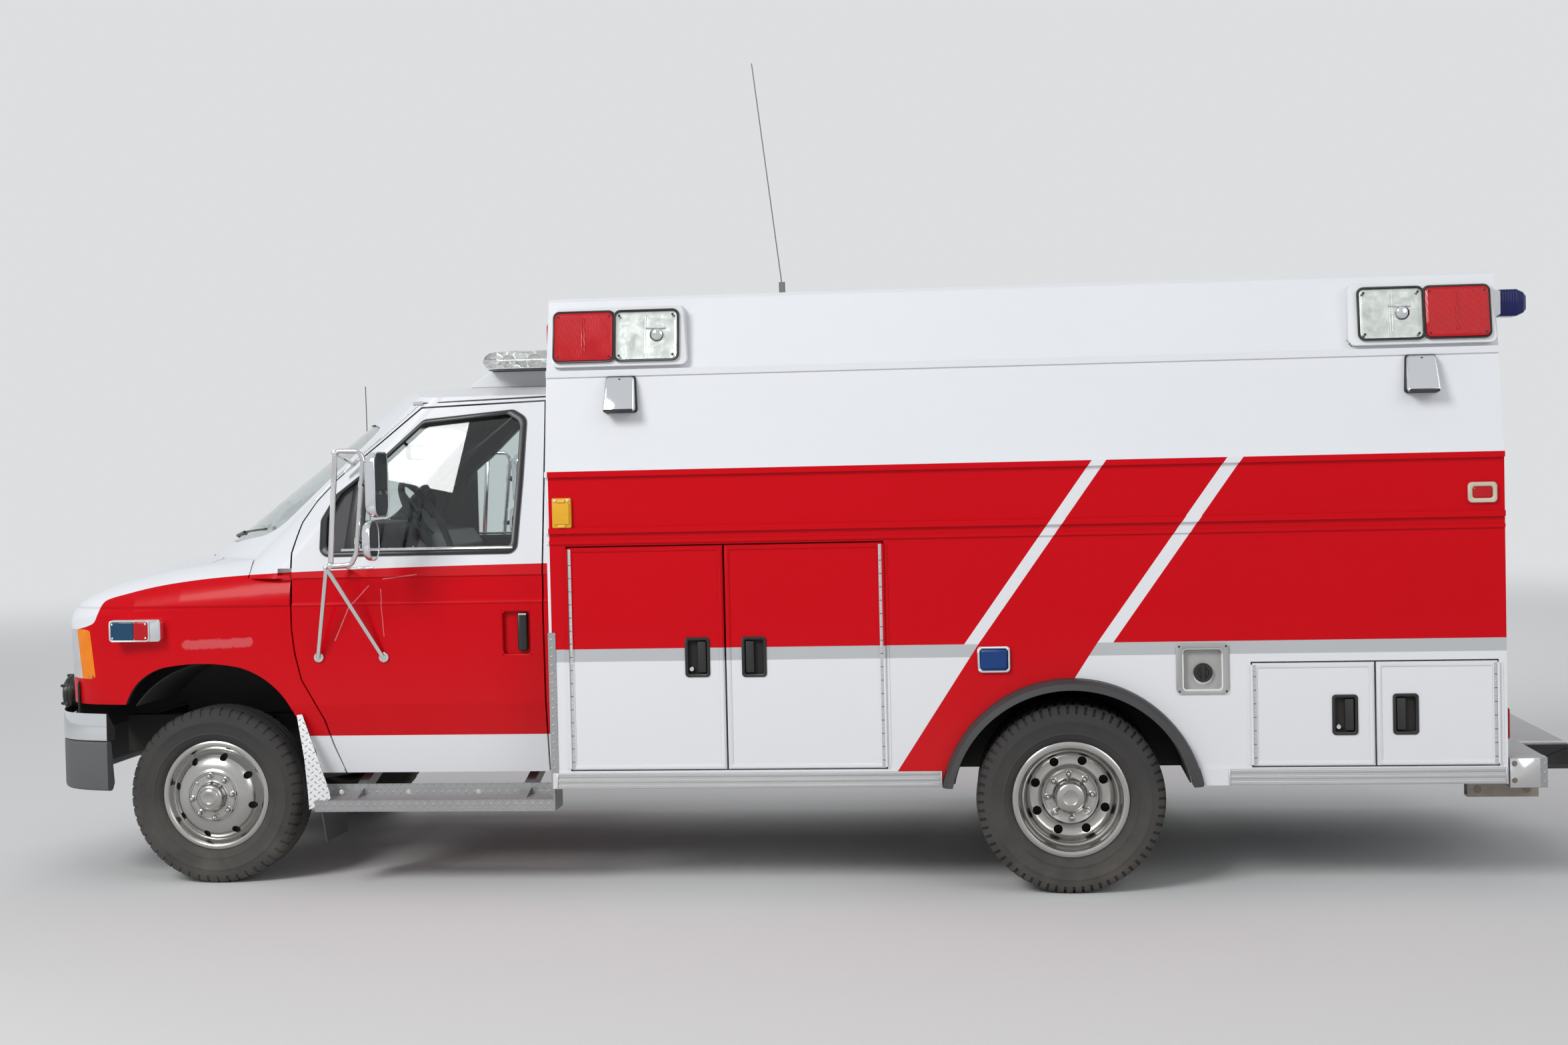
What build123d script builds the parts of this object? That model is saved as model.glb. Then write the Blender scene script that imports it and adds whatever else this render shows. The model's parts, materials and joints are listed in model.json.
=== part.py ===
from build123d import *
from math import cos, radians, sin
import os

# Box ambulance on a cutaway van chassis, in millimetres.
# While it is drawn, X runs rearward from the front axle, -Y is the driver's side and Z = 0 is the ground.
# At the end every piece moves along X, so that the origin is under the middle of the whole vehicle.

# Running gear
wheelbase = 3505
tyre_radius = 364
tyre_width = 223
rim_radius = 203
rim_width = 152
simulator_radius = 225
front_half_track = 881
rear_half_track = 984
dual_spacing = 257
kingpin_half_track = 795
kingpin_radius = 16
shaft_clearance = 0.05
slot_count = 8

# Ladder frame
rail_half_gap = 367
rail_flange = 65
rail_gauge = 7
rail_front = -600
rail_rear = 5080
rail_top = 690
rail_depth = 160
front_rail_drop = 50
crossmember_width = 90
crossmember_depth = 90
crossmember_places = [-520, 1500, 2450, 3060, 3960, 4900]

# Cab
cab_rear = 1466
cab_half_width = 1007
cab_floor_top = 720
cab_floor_gauge = 30
cab_wall = 62
roof_wall = 40
panel_wall = 28
belt_height = 1300
door_gap = 7
firewall_front = 352
firewall_gauge = 35
firewall_half_width = 915
dash_half_width = 885
roof_crown_height = 2062
glass_gauge = 6
seat_clearance = 0.3

# Module
module_front = 1468
module_rear = 5147
module_half_width = 1174
module_bottom = 415
module_wall = 60
module_floor_bottom = 800
module_floor_gauge = 40
side_break_height = 1672
bend_height = 2060
bend_half_width = 1105
eave_height = 2335
eave_half_width = 1026
roof_edge_height = 2365
roof_crown = 26
wheel_opening_x = 3512
wheel_opening_height = 323
wheel_opening_radius = 468
flare_width = 42
locker_depth = 500
locker_wall = 15
panel_gap = 6
pair_gap = 8
hinge_stand = 8
hinge_radius = 5
hinge_leaf = 18
rear_hinge_stand = 10
rear_hinge_radius = 8
rear_hinge_heights = [860, 1400, 1950]

# Whole vehicle, for the origin
lamp_front = -810
step_rear = 5495
origin_shift = -(lamp_front + step_rear) / 2

os.makedirs("parts", exist_ok=True)


# Helpers
def save(name, *solids):
    """Write one sub-part, moved so that the origin is under the middle of the vehicle."""
    moved = [Pos(origin_shift, 0, 0) * solid for solid in solids]
    shape = moved[0] if len(moved) == 1 else Compound(children=moved)
    shape.label = name
    export_step(shape, f"parts/{name}.step")


def block(x0, x1, y0, y1, z0, z1):
    """A block between two corners."""
    return Pos((x0 + x1) / 2, (y0 + y1) / 2, (z0 + z1) / 2) * Box(abs(x1 - x0), abs(y1 - y0), abs(z1 - z0))


def outline(points, radius=0):
    """A flat face from corner points, with all corners rounded if a radius is given."""
    if radius:
        return make_face(FilletPolyline(*points, radius=radius, close=True))
    return make_face(Polyline(*points, close=True))


def side_prism(points, y0, y1, radius=0):
    """Points are (x, z), seen from the side, and the solid runs from y0 to y1."""
    return extrude(Plane.XZ.offset(-y0) * outline(points, radius), amount=y1 - y0, dir=(0, 1, 0))


def front_prism(points, x0, x1, radius=0):
    """Points are (y, z), seen from the front, and the solid runs from x0 to x1."""
    return extrude(Plane.YZ.offset(x0) * outline(points, radius), amount=x1 - x0, dir=(1, 0, 0))


def plan_prism(points, z0, z1, radius=0):
    """Points are (x, y), seen from above, and the solid runs from z0 to z1."""
    return extrude(Plane.XY.offset(z0) * outline(points, radius), amount=z1 - z0, dir=(0, 0, 1))


def rod(start, end, radius):
    """A round bar between two points."""
    start, end = Vector(*start), Vector(*end)
    return Plane(start, z_dir=end - start) * Pos(0, 0, (end - start).length / 2) * Cylinder(
        radius, (end - start).length)


def y_cylinder(x, z, radius, y0, y1):
    """A cylinder about a line across the vehicle."""
    return Pos(x, (y0 + y1) / 2, z) * Rot(90, 0, 0) * Cylinder(radius, abs(y1 - y0))


def turned(profile, x, z, side):
    """Points are (radius, y outward from the centre line), turned about the wheel's axis."""
    face = Plane.XY * make_face(Polyline(*[(r, side * y) for r, y in profile], close=True))
    return Pos(x, 0, z) * revolve(face, axis=Axis.Y)


def joined(solids):
    """One solid from pieces that touch or overlap."""
    total = solids[0]
    for solid in solids[1:]:
        total = total + solid
    return total


# Wheels: both sides from one set of profiles
def tyre(x, centre, side):
    """Tyre section: flat tread, rounded shoulders and a bulged side wall."""
    half = tyre_width / 2
    r = tyre_radius
    bead = rim_width / 2 - 1
    section = [(rim_radius + 1, bead), (rim_radius + 15, bead), (rim_radius + 24, bead + 6),
               (rim_radius + 33, half - 13), (r - 85, half), (r - 30, half - 6), (r - 8, half - 20), (r, half - 38)]
    profile = [(a, centre - b) for a, b in section] + [(a, centre + b) for a, b in reversed(section)]
    return turned(profile, x, tyre_radius, side)


def rim_barrel(centre, disc_y, disc_gauge, bore):
    """Steel rim: a barrel with turned-up flanges, and a disc at the given distance out."""
    half = rim_width / 2
    inner = rim_radius - 8
    return [(rim_radius, centre - half), (rim_radius + 14, centre - half), (rim_radius + 14, centre - half - 7),
            (inner, centre - half - 7), (inner, disc_y - disc_gauge), (bore, disc_y - disc_gauge),
            (bore, disc_y), (inner, disc_y), (inner, centre + half + 7), (rim_radius + 14, centre + half + 7),
            (rim_radius + 14, centre + half), (rim_radius, centre + half)]


def front_rim(side):
    """Front rim with its convex trim: lip, dished shoulder with slots, raised face and hub cap."""
    x, z = 0, tyre_radius
    out = front_half_track + rim_width / 2 + 7
    hub = spindle_radius + shaft_clearance
    rim = turned(rim_barrel(front_half_track, out - 24, 14, hub), x, z, side)
    trim = turned([(simulator_radius, out), (simulator_radius, out + 4), (212, out + 6), (196, out - 2),
                   (186, out - 20), (172, out - 8), (150, out + 18), (138, out + 24), (104, out + 26),
                   (98, out + 32), (60, out + 34), (56, out + 74), (44, out + 84), (1, out + 84),
                   (1, out + 80), (40, out + 80), (50, out + 72), (54, out + 28), (96, out + 26),
                   (102, out + 20), (136, out + 18), (146, out + 12), (168, out - 14), (186, out - 26),
                   (200, out - 8), (212, out)], x, z, side)
    for number in range(slot_count):
        angle = radians(360 / slot_count * (number + 0.5))
        slot_x, slot_z = x + 160 * cos(angle), z + 160 * sin(angle)
        trim -= y_cylinder(slot_x, slot_z, 15, side * (out - 30), side * (out + 40))
    return rim + trim


def rear_rims(side):
    """Inner and outer rims bolted back to back, with the deep trim of the outer one."""
    x, z = wheelbase, tyre_radius
    inner_centre = rear_half_track - dual_spacing / 2
    outer_centre = rear_half_track + dual_spacing / 2
    out = outer_centre + rim_width / 2 + 7
    bore = axle_end_radius + shaft_clearance
    inner = turned(rim_barrel(inner_centre, rear_half_track, 14, bore), x, z, side)
    outer = turned(rim_barrel(outer_centre, rear_half_track + 14, 14, bore), x, z, side)
    trim = turned([(simulator_radius, out), (simulator_radius, out + 4), (212, out + 8), (194, out),
                   (186, out - 30), (176, out - 40), (170, out - 110), (150, out - 128), (118, out - 128),
                   (108, out - 116), (76, out - 114), (70, out - 60), (58, out - 46), (1, out - 46),
                   (1, out - 50), (54, out - 50), (66, out - 62), (72, out - 120), (104, out - 122),
                   (114, out - 134), (154, out - 134), (176, out - 114), (182, out - 44), (192, out - 32),
                   (194.9, out - 8), (212, out)], x, z, side)
    for number in range(slot_count):
        angle = radians(360 / slot_count * (number + 0.5))
        hole_x, hole_z = x + 134 * cos(angle), z + 134 * sin(angle)
        trim -= y_cylinder(hole_x, hole_z, 19, side * (out - 150), side * (out - 90))
    return inner + outer + trim


# Steering and axles
spindle_radius = 30
axle_end_radius = 48
knuckle_ear_radius = 34
beam_eye_half = 62
spindle_root = kingpin_half_track + 52
spindle_tip = front_half_track + 60
radius_arm_y = 556


def knuckle(side):
    """Yoke round the beam's eye, king pin, spindle and steering arm."""
    y = side * kingpin_half_track
    z = tyre_radius
    ear_gap = 0.5
    ear = 34
    parts = [Pos(0, y, z) * Cylinder(kingpin_radius, 2 * (beam_eye_half + ear_gap + ear))]
    for end in (-1, 1):
        middle = z + end * (beam_eye_half + ear_gap + ear / 2)
        parts.append(Pos(0, y, middle) * Cylinder(knuckle_ear_radius, ear))
        parts.append(block(-26, 26, y, side * spindle_root, middle - ear / 2, middle + ear / 2))
    reach = beam_eye_half + ear_gap + ear
    parts.append(block(-26, 26, side * (spindle_root - 14), side * (spindle_root + 6), z - reach, z + reach))
    parts.append(y_cylinder(0, z, 52, side * (spindle_root - 6), side * (spindle_root + 8)))
    parts.append(y_cylinder(0, z, spindle_radius, side * spindle_root, side * spindle_tip))
    arm_z = z - beam_eye_half - ear_gap - ear
    parts.append(block(0, 165, y - side * 14, y + side * 14, arm_z, arm_z + 18))
    return joined(parts)


def front_beam(side):
    """One of the two crossed axle beams: it pivots under the far rail and ends in the king pin's eye."""
    lane = 46 * side
    z = tyre_radius
    pivot_y = -side * 330
    eye_y = side * kingpin_half_track
    half = 27
    beam = front_prism([(pivot_y, 372), (pivot_y, 452), (side * 560, 400), (side * 700, z + 45),
                        (eye_y, z + 45), (eye_y, z - 45), (side * 700, z - 55), (side * 540, 320)],
                       lane - half, lane + half)
    groove = [(pivot_y + side * 60, 388), (pivot_y + side * 60, 432), (side * 540, 386), (side * 560, 340)]
    grooves = [front_prism(groove, lane - half, lane - 8), front_prism(groove, lane + 8, lane + half)]
    outer = front_prism([(side * 560, 330), (side * 560, 396), (side * 700, z + 45), (eye_y, z + 45),
                         (eye_y, z - 45), (side * 700, z - 55)], -27, 27)
    eye = Pos(0, eye_y, z) * Cylinder(36, 2 * beam_eye_half)
    arm = rod((20, side * radius_arm_y, z - 20), (880, side * 453, 470), 20)
    seat = Pos(0, side * 610, z + 38) * Cylinder(62, 14)
    bore = Pos(0, eye_y, z) * Cylinder(kingpin_radius + shaft_clearance, 400)
    return joined([beam - grooves, outer, eye, arm, seat]) - bore


def coil_spring(side):
    """Front coil spring between the beam's seat and the frame's tower."""
    bottom = tyre_radius + 45
    top = rail_top - front_rail_drop - 20
    turns, wire, radius = 4, 7, 52
    height = top - bottom - 2 * wire - 0.6
    path = Helix(pitch=height / turns, height=height, radius=radius)
    start = Plane(path @ 0, z_dir=path % 0)
    coil = sweep(start * Circle(wire), path=path)
    return Pos(0, side * 610, bottom + wire + 0.3) * coil


leaf_y, leaf_half = 520, 38


def leaf_spring(side):
    """Rear leaf spring: a stack of leaves, each shorter than the one above, with eyes at its ends."""
    y = side * leaf_y
    half = leaf_half
    leaf_gauge = 11
    z = tyre_radius + 62
    leaves = []
    for number, length in enumerate([1300, 1120, 900, 680, 460]):
        top = z + (5 - number) * leaf_gauge
        rise = 0.075 * length / 2
        leaf = side_prism([(wheelbase - length / 2, top + rise), (wheelbase - 90, top), (wheelbase + 90, top),
                           (wheelbase + length / 2, top + rise),
                           (wheelbase + length / 2, top + rise - leaf_gauge), (wheelbase + 90, top - leaf_gauge),
                           (wheelbase - 90, top - leaf_gauge),
                           (wheelbase - length / 2, top + rise - leaf_gauge)], y - half, y + half)
        leaves.append(leaf)
    stack = joined(leaves)
    end_z = z + 5 * leaf_gauge + 0.075 * 650
    for end in (-1, 1):
        stack += y_cylinder(wheelbase + end * 650, end_z, 26, y - half, y + half)
    return stack


propeller_front = 1130


def rear_axle():
    """Axle tube with the differential, spring perches and the propeller shaft ahead of it."""
    x, z = wheelbase, tyre_radius
    tip = rear_half_track + 60
    tube = y_cylinder(x, z, 46, -800, 800)
    ends = y_cylinder(x, z, axle_end_radius, -tip, tip)
    case = Pos(x, 0, z) * Sphere(165)
    nose = rod((x, 0, z), (x - 330, 0, z + 60), 62)
    perches = [block(x - 85, x + 85, side * 480, side * 560, z + 30, z + 62) for side in (-1, 1)]
    shaft = rod((x - 320, 0, z + 58), (propeller_front, 0, 560), 45)
    return joined([tube, ends, case, nose, shaft] + perches)


def engine():
    """Engine and gearbox as one block, with its mounts at the rails."""
    reach = rail_half_gap - seat_clearance
    return joined([block(-380, 300, -285, 285, 500, 1120), block(300, 1080, -165, 165, 494.3, 684),
                   rod((1080, 0, 560), (propeller_front - 5, 0, 560), 60), block(-150, -90, -reach, reach, 600, 640)])


# Ladder frame
def frame_rail(side):
    """A channel rail, open towards the middle, lower at the front axle."""
    top, low = rail_top, rail_top - rail_depth
    drop = front_rail_drop

    def profile(skin):
        return [(rail_front, low - drop + skin), (250, low - drop + skin), (700, low + skin), (rail_rear, low + skin),
                (rail_rear, top - skin), (700, top - skin), (250, top - drop - skin), (rail_front, top - drop - skin)]

    outer = side_prism(profile(0), side * rail_half_gap, side * (rail_half_gap + rail_flange))
    hollow = side_prism(profile(rail_gauge), side * (rail_half_gap - 1),
                        side * (rail_half_gap + rail_flange - rail_gauge))
    return outer - hollow


def crossmembers():
    """Channel bars that lie in the rails, and the dropped bar under the gearbox."""
    web = rail_half_gap + rail_flange - rail_gauge - seat_clearance
    gauge = 8
    bars = []
    for x in crossmember_places:
        top = rail_top - rail_gauge - seat_clearance - (front_rail_drop if x < 250 else 0)
        low = top - crossmember_depth
        bar = block(x, x + crossmember_width, -web, web, low, top)
        bars.append(bar - block(x + gauge, x + crossmember_width - gauge, -web, web, low - 1, top - gauge))
    lip, seat, crest = rail_half_gap - 5, rail_top - rail_depth + 11, 640
    half = [(web, crest), (web, seat), (lip, seat), (260, 455)]
    dropped = half + [(-y, z) for y, z in reversed(half)] + [(-240, 494), (240, 494)]
    bars.append(front_prism(dropped, 640, 640 + crossmember_width))
    return bars


def frame_brackets(side):
    """Spring tower, hangers and the brackets of the beams, all bolted to one rail."""
    outer = side * (rail_half_gap + rail_flange + seat_clearance)
    front_top = rail_top - front_rail_drop
    tower_reach, plate = 690, 9
    tower = block(-70, 70, outer, side * tower_reach, front_top - 20, front_top)
    gusset_outline = [(outer, 500), (outer, front_top), (side * tower_reach, front_top),
                      (side * tower_reach, front_top - 20)]
    gusset = front_prism(gusset_outline, -70, -70 + plate)
    parts = [joined([tower, gusset, mirror(gusset, about=Plane.YZ)])]
    lane = -46 * side
    beam_top = rail_top - rail_depth - front_rail_drop - seat_clearance
    for face in (lane - 40, lane + 27.5):
        parts.append(block(face, face + 12.5, side * 300, outer, 362, beam_top))
    for end in (-1, 1):
        x = wheelbase + end * 650
        parts.append(block(x - 30, x + 30, outer, side * (leaf_y - leaf_half - seat_clearance), 480, 640))
    parts.append(block(860, 920, side * 395, side * 432, 445, rail_top - rail_depth - seat_clearance))
    return parts


sill_half = module_half_width - module_wall - locker_depth - locker_wall - 14
sill_places = [1600, 2150, 2700, 3000, 4060, 4500, 4980]
sill_width = 60
runner_in, runner_out = 380, 430


def module_sills():
    """Cross sills on the rails, with runner lengths between them, that carry the module's floor."""
    low, high = rail_top + seat_clearance, module_floor_bottom - seat_clearance
    sills = [block(x, x + sill_width, -sill_half, sill_half, low, high) for x in sill_places]
    for place, following in zip(sill_places, sill_places[1:]):
        start, end = place + sill_width + seat_clearance, following - seat_clearance
        for side in (-1, 1):
            sills.append(block(start, end, side * runner_in, side * runner_out, low, high))
    return sills


def chassis_frame():
    """Rails, crossmembers, brackets and sills, each a piece of its own as on the bolted frame."""
    brackets = [bracket for side in (-1, 1) for bracket in frame_brackets(side)]
    return [frame_rail(-1), frame_rail(1)] + crossmembers() + brackets + module_sills()


# Cab shape: lower body section, nose sections and glass house
# columns: half width, height
cab_section = [(960, 455), (cab_half_width - 4, 738), (cab_half_width, 1146), (cab_half_width - 11, 1162),
               (990, belt_height)]


def cab_lower(x0, x1, inset):
    """The body below the belt line, between two places, drawn in by the inset on each side."""
    right = [(w - inset, z) for w, z in cab_section]
    left = [(-w, z) for w, z in reversed(right)]
    return front_prism(right + left, x0, x1)


# columns: place, half width at the sill, half width at the crease, crease height,
# half width and height of the hood's shoulder, height at the centre line
nose_sections = [
    (-690, 706, 730, 1030, 640, 1086, 1122),
    (-655, 826, 846, 1072, 740, 1140, 1182),
    (-590, 898, 916, 1098, 786, 1184, 1232),
    (-480, 950, 962, 1116, 822, 1230, 1284),
    (-320, 982, 990, 1130, 850, 1270, 1328),
    (-120, 996, 1000, 1139, 864, 1303, 1364),
    (120, 1001, 1005, 1144, 872, 1330, 1396),
    (360, 1003, 1007, 1148, 880, 1352, 1425),
]
curved_sections = 5
nose_bottom = 700


def nose(inset):
    """The fenders and hood as one smooth form, drawn in by the inset."""
    faces = []
    for x, sill_w, crease_w, crease_z, shoulder_w, shoulder_z, top_z in nose_sections:
        bulge_w = (crease_w + shoulder_w) / 2 + 24 - inset
        bulge_z = (crease_z + shoulder_z) / 2 + 20 - inset
        w0, w1, w2 = sill_w - inset, crease_w - inset, shoulder_w - inset
        z0 = nose_bottom
        z1, z2, z3 = crease_z - inset / 2, shoulder_z - inset, top_z - inset
        wire = [Line((-w0, z0), (w0, z0)), Line((w0, z0), (w1, z1)),
                ThreePointArc((w1, z1), (bulge_w, bulge_z), (w2, z2)),
                ThreePointArc((w2, z2), (0, z3), (-w2, z2)),
                ThreePointArc((-w2, z2), (-bulge_w, bulge_z), (-w1, z1)), Line((-w1, z1), (-w0, z0))]
        place = x + (inset if x == nose_sections[0][0] else 0)
        faces.append(Plane.YZ.offset(place) * make_face(Wire(wire)))
    return loft(faces[:curved_sections]) + loft(faces[curved_sections - 1:], ruled=True)


glass_low, glass_high = belt_height - 40, 2090
# columns at a reference height: half width, start of the pillar's corner, corner place, corner half width, centre
house_low = (1300, 990, 330, 118, 860, -317)
house_high = (2000, 832, 985, 838, 742, 610)


def house_face(z, inset):
    """One level of the glass house: flat sides, rounded pillars and a curved windscreen."""
    share = (z - house_low[0]) / (house_high[0] - house_low[0])
    w, xs, xc, yc, xm = [a + (b - a) * share for a, b in zip(house_low[1:], house_high[1:])]
    w, yc = w - inset, yc - inset
    xc, xm = xc + inset * 1.1, xm + inset * 1.2
    mid = ((xs + xc) / 2 - 38, (w + yc) / 2 + 14)
    wire = [Line((cab_rear, -w), (cab_rear, w)), Line((cab_rear, w), (xs, w)),
            ThreePointArc((xs, w), mid, (xc, yc)), ThreePointArc((xc, yc), (xm, 0), (xc, -yc)),
            ThreePointArc((xc, -yc), (mid[0], -mid[1]), (xs, -w)), Line((xs, -w), (cab_rear, -w))]
    return Plane.XY.offset(z) * make_face(Wire(wire))


def roof_cut(drop):
    """Everything under the roof's crown, lowered by the drop."""
    top = roof_crown_height - drop
    across = make_face(Wire([Line((-1100, 400), (1100, 400)), Line((1100, 400), (1100, top - 125)),
                             ThreePointArc((1100, top - 125), (0, top), (-1100, top - 125)),
                             Line((-1100, top - 125), (-1100, 400))]))
    along = make_face(Wire([Line((-500, 400), (cab_rear, 400)), Line((cab_rear, 400), (cab_rear, top)),
                            ThreePointArc((cab_rear, top), (1100, top - 11), (800, top - 42)),
                            ThreePointArc((800, top - 42), (650, top - 84), (480, top - 152)),
                            Line((480, top - 152), (-500, top - 152)), Line((-500, top - 152), (-500, 400))]))
    return extrude(Plane.YZ.offset(-600) * across, amount=2200) & extrude(
        Plane.XZ.offset(1200) * along, amount=-2400)


def glass_house(inset, drop):
    """The cab above the belt line."""
    return loft([house_face(glass_low, inset), house_face(glass_high, inset)], ruled=True) & roof_cut(drop)


# Door outline seen from the side, with the sloping front edge along fender and pillar: (x, z)
cab_door_outline = [(562, 455), (518, 572), (486, 678), (447, 753), (396, 844), (371, 953), (361, 1050),
                    (360, 1363), (390, 1485), (440, 1570), (522, 1660), (720, 1812), (885, 1945),
                    (1400, 1962), (1405, 1000), (1408, 455)]
window_outline = [(486, 1352), (486, 1500), (540, 1600), (735, 1748), (895, 1893), (1262, 1925), (1318, 1890),
                  (1308, 1646), (1290, 1352)]
# Recessed handle in each cab door: front edge, rear edge, low edge, high edge
cab_handle = (1236, 1358, 934, 1115)
handle_depth = 26


def grown(points, by):
    """An outline moved outward by a distance, as a face."""
    return offset(outline(points), amount=by, kind=Kind.INTERSECTION)


def grown_prism(points, by, y0, y1):
    """As side_prism, with the outline moved outward."""
    return extrude(Plane.XZ.offset(-y0) * grown(points, by), amount=y1 - y0, dir=(0, 1, 0))


def arch_cut(y0, y1):
    """The front wheel's opening in the fender: two round shoulders under a flat top."""
    points = [Line((-430, 300), (480, 300)), Line((480, 300), (450, 520)), Line((450, 520), (353, 712)),
              ThreePointArc((353, 712), (268, 822), (130, 897)), ThreePointArc((130, 897), (-20, 914), (-170, 903)),
              ThreePointArc((-170, 903), (-290, 856), (-372, 748)), Line((-372, 748), (-430, 300))]
    return extrude(Plane.XZ.offset(-y0) * make_face(Wire(points)), amount=-(y1 - y0))


fender_outline = [(-760, 745), (-372, 745), (-372, 600), (478, 470), (552, 470), (511, 572), (479, 678),
                  (440, 753), (389, 844), (364, 953), (354, 1050), (353, 1500), (-760, 1500)]
liner_radius = 424
liner_height = 484
liner_gauge = 6


def cab_outer():
    """The cab's outer form behind the fenders."""
    lower = cab_lower(firewall_front, cab_rear, 0)
    return lower + glass_house(0, 0)


def cab_room(inset):
    """The form inside the cab's walls, from sill to roof, at a distance from the outer faces."""
    return cab_lower(firewall_front - 1, cab_rear + 1, inset) + glass_house(inset, roof_wall)


def cab_inner():
    """The room above the floor and behind the firewall, open towards the module."""
    room = cab_room(cab_wall) - block(0, cab_rear + 2, -1000, 1000, 400, cab_floor_top)
    return room - block(-600, firewall_front + firewall_gauge, -1100, 1100, 400, belt_height + 40)


seat_y = 480
seat_base = 899.7
windscreen_outline = [(-806, 1440), (-560, 1398), (560, 1398), (806, 1440), (726, 1872), (560, 1890), (-560, 1890),
                      (-726, 1872)]


# A door's lip under the roof starts at this half width, and stands off the roof by the lip gap
door_reach_in, lip_gap = 700, 20


def cab_parts():
    """The cab shell with its sill seals, and the two doors, cut from one body."""
    outer = cab_outer()
    below = block(firewall_front, cab_rear, -900, 900, 400, cab_floor_top - cab_floor_gauge)
    shell = outer - cab_inner() - below
    walls = outer - cab_room(cab_wall)
    door_zone = outer - cab_room(cab_wall + door_gap)
    doors = []
    for side in (-1, 1):
        near, far = side * door_reach_in, side * 1100
        door = walls & side_prism(cab_door_outline, near + side * lip_gap, far)
        door = door - side_prism(window_outline, near, far, radius=30)
        x0, x1, z0, z1 = cab_handle
        door = door - block(x0, x1, side * (cab_half_width - handle_depth), far, z0, z1)
        doors.append(door)
        opening = grown_prism(cab_door_outline, door_gap, near, far)
        firewall_end = block(0, firewall_front + firewall_gauge, side * firewall_half_width, far, 400,
                             belt_height + 40)
        shell = shell - (door_zone & opening) - (firewall_end & opening)
    skin = cab_lower(300, 700, -5) - cab_lower(290, 710, panel_wall + 0.3)
    shell = shell - (skin & side_prism(fender_outline, -1100, 1100))
    for side in (-1, 1):
        shell = shell + block(880, 1240, side * seat_y - 180, side * seat_y + 180, cab_floor_top, seat_base)
    seals = cab_room(cab_wall + seat_clearance) - cab_room(cab_wall + door_gap + 4)
    shell = shell + (seals & block(640, 1380, -1100, 1100, cab_floor_top - 20, cab_floor_top - 4))
    shell = shell - front_prism(windscreen_outline, -500, 1000, radius=60)
    shell = shell - y_cylinder(0, liner_height, liner_radius + liner_gauge + 0.3, -1100, 1100)
    return shell, doors


def windscreen():
    """Curved glass set in the opening, just inside the outer face."""
    pane = glass_house(8, 0) - glass_house(8 + glass_gauge, 0)
    small = [(y * 0.9965, 1442 + (z - 1440) * 0.994) for y, z in windscreen_outline]
    return pane & front_prism(small, -500, 1000, radius=58)


def door_glass(side):
    """Side window, set half way through the door."""
    pane = glass_house(26, 0) - glass_house(26 + glass_gauge, 0)
    middle_x, middle_z = 900, 1640
    small = [(middle_x + (x - middle_x) * 0.998, middle_z + (z - middle_z) * 0.998) for x, z in window_outline]
    return pane & side_prism(small, side * 700, side * 1100, radius=30)


fender_leg_top = 1150
hood_outline = [(-720, -640), (-655, -690), (-560, -735), (-330, -770), (-60, -780), (-40, -700), (-150, -420),
                (-215, -150), (-225, 0), (-215, 150), (-150, 420), (-40, 700), (-60, 780), (-330, 770),
                (-560, 735), (-655, 690), (-720, 640)]
hood_low = 1096
hood_gap = 6
grille_half, grille_low, grille_high = 552, 804, 1048
headlamp_outline = [(570, 862), (570, 1050), (945, 1058), (945, 850)]


def front_clip_parts():
    """Fenders with nose panel, the hood and the wrap-round head lamps, cut from one form."""
    shell = nose(0) - nose(panel_wall)
    shell = shell - block(300, 400, -880, 880, 600, 1500)
    shell = shell - block(firewall_front - 0.3, 500, -1100, 1100, 600, 1600)
    rear = cab_lower(firewall_front - 1, 600, 0) - cab_lower(300, 700, panel_wall)
    outer = shell + (rear - block(300, 700, -1100, 1100, fender_leg_top, 1600))
    body = outer & side_prism(fender_outline, -1100, 1100)
    body = body - block(-760, 700, -700, 700, 600, 800)
    hood = body & plan_prism(hood_outline, hood_low, 1500)
    gap = extrude(Plane.XY.offset(hood_low - hood_gap) * grown(hood_outline, hood_gap), amount=500, dir=(0, 0, 1))
    body = body - gap
    house = loft([house_face(glass_low, -4), house_face(glass_high, -4)], ruled=True)
    body = body - house
    hood = hood - house
    lamps = []
    for side in (-1, 1):
        body = body - arch_cut(side * 650, side * 1100)
        lamp_shape = (nose(0) - nose(60)) & front_prism([(side * y, z) for y, z in headlamp_outline], -720, -470,
                                                        radius=12)
        lamp_hole = front_prism([(side * y, z) for y, z in headlamp_outline], -720, -470, radius=12)
        lamp_hole = lamp_hole - block(-470, -400, -1100, 1100, 800, 1100)
        body = body - lamp_hole
        lamps.append(lamp_shape & block(-720, -480, -1100, 1100, 800, 1100))
        rest = block(-670, -620, side * 480, side * 520, 1040, 1300) & nose(panel_wall + seat_clearance)
        body = body + rest + block(-675, -640, side * 480, side * 520, 1040, hood_low - hood_gap)
    half, low, high = grille_half + seat_clearance, grille_low - seat_clearance, grille_high + seat_clearance
    body = body - block(-720, -600, -half, half, low, high)
    return body, hood, lamps


def grille():
    """Insert with a frame and cross bars, between the head lamps."""
    frame = block(-688, -650, -grille_half, grille_half, grille_low, grille_high)
    openings = []
    rows, columns = 3, 8
    width, height = 1060 / columns, 208 / rows
    for row in range(rows):
        for column in range(columns):
            y = -530 + width * column + 6
            z = 822 + height * row + 5
            openings.append(block(-700, -640, y, y + width - 12, z, z + height - 10))
    return frame - openings


# Bumper seen from above, right half: (x, y)
bumper_half = [(-749, 0), (-742, 400), (-706, 720), (-640, 880), (-560, 950), (-425, 985)]


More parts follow.
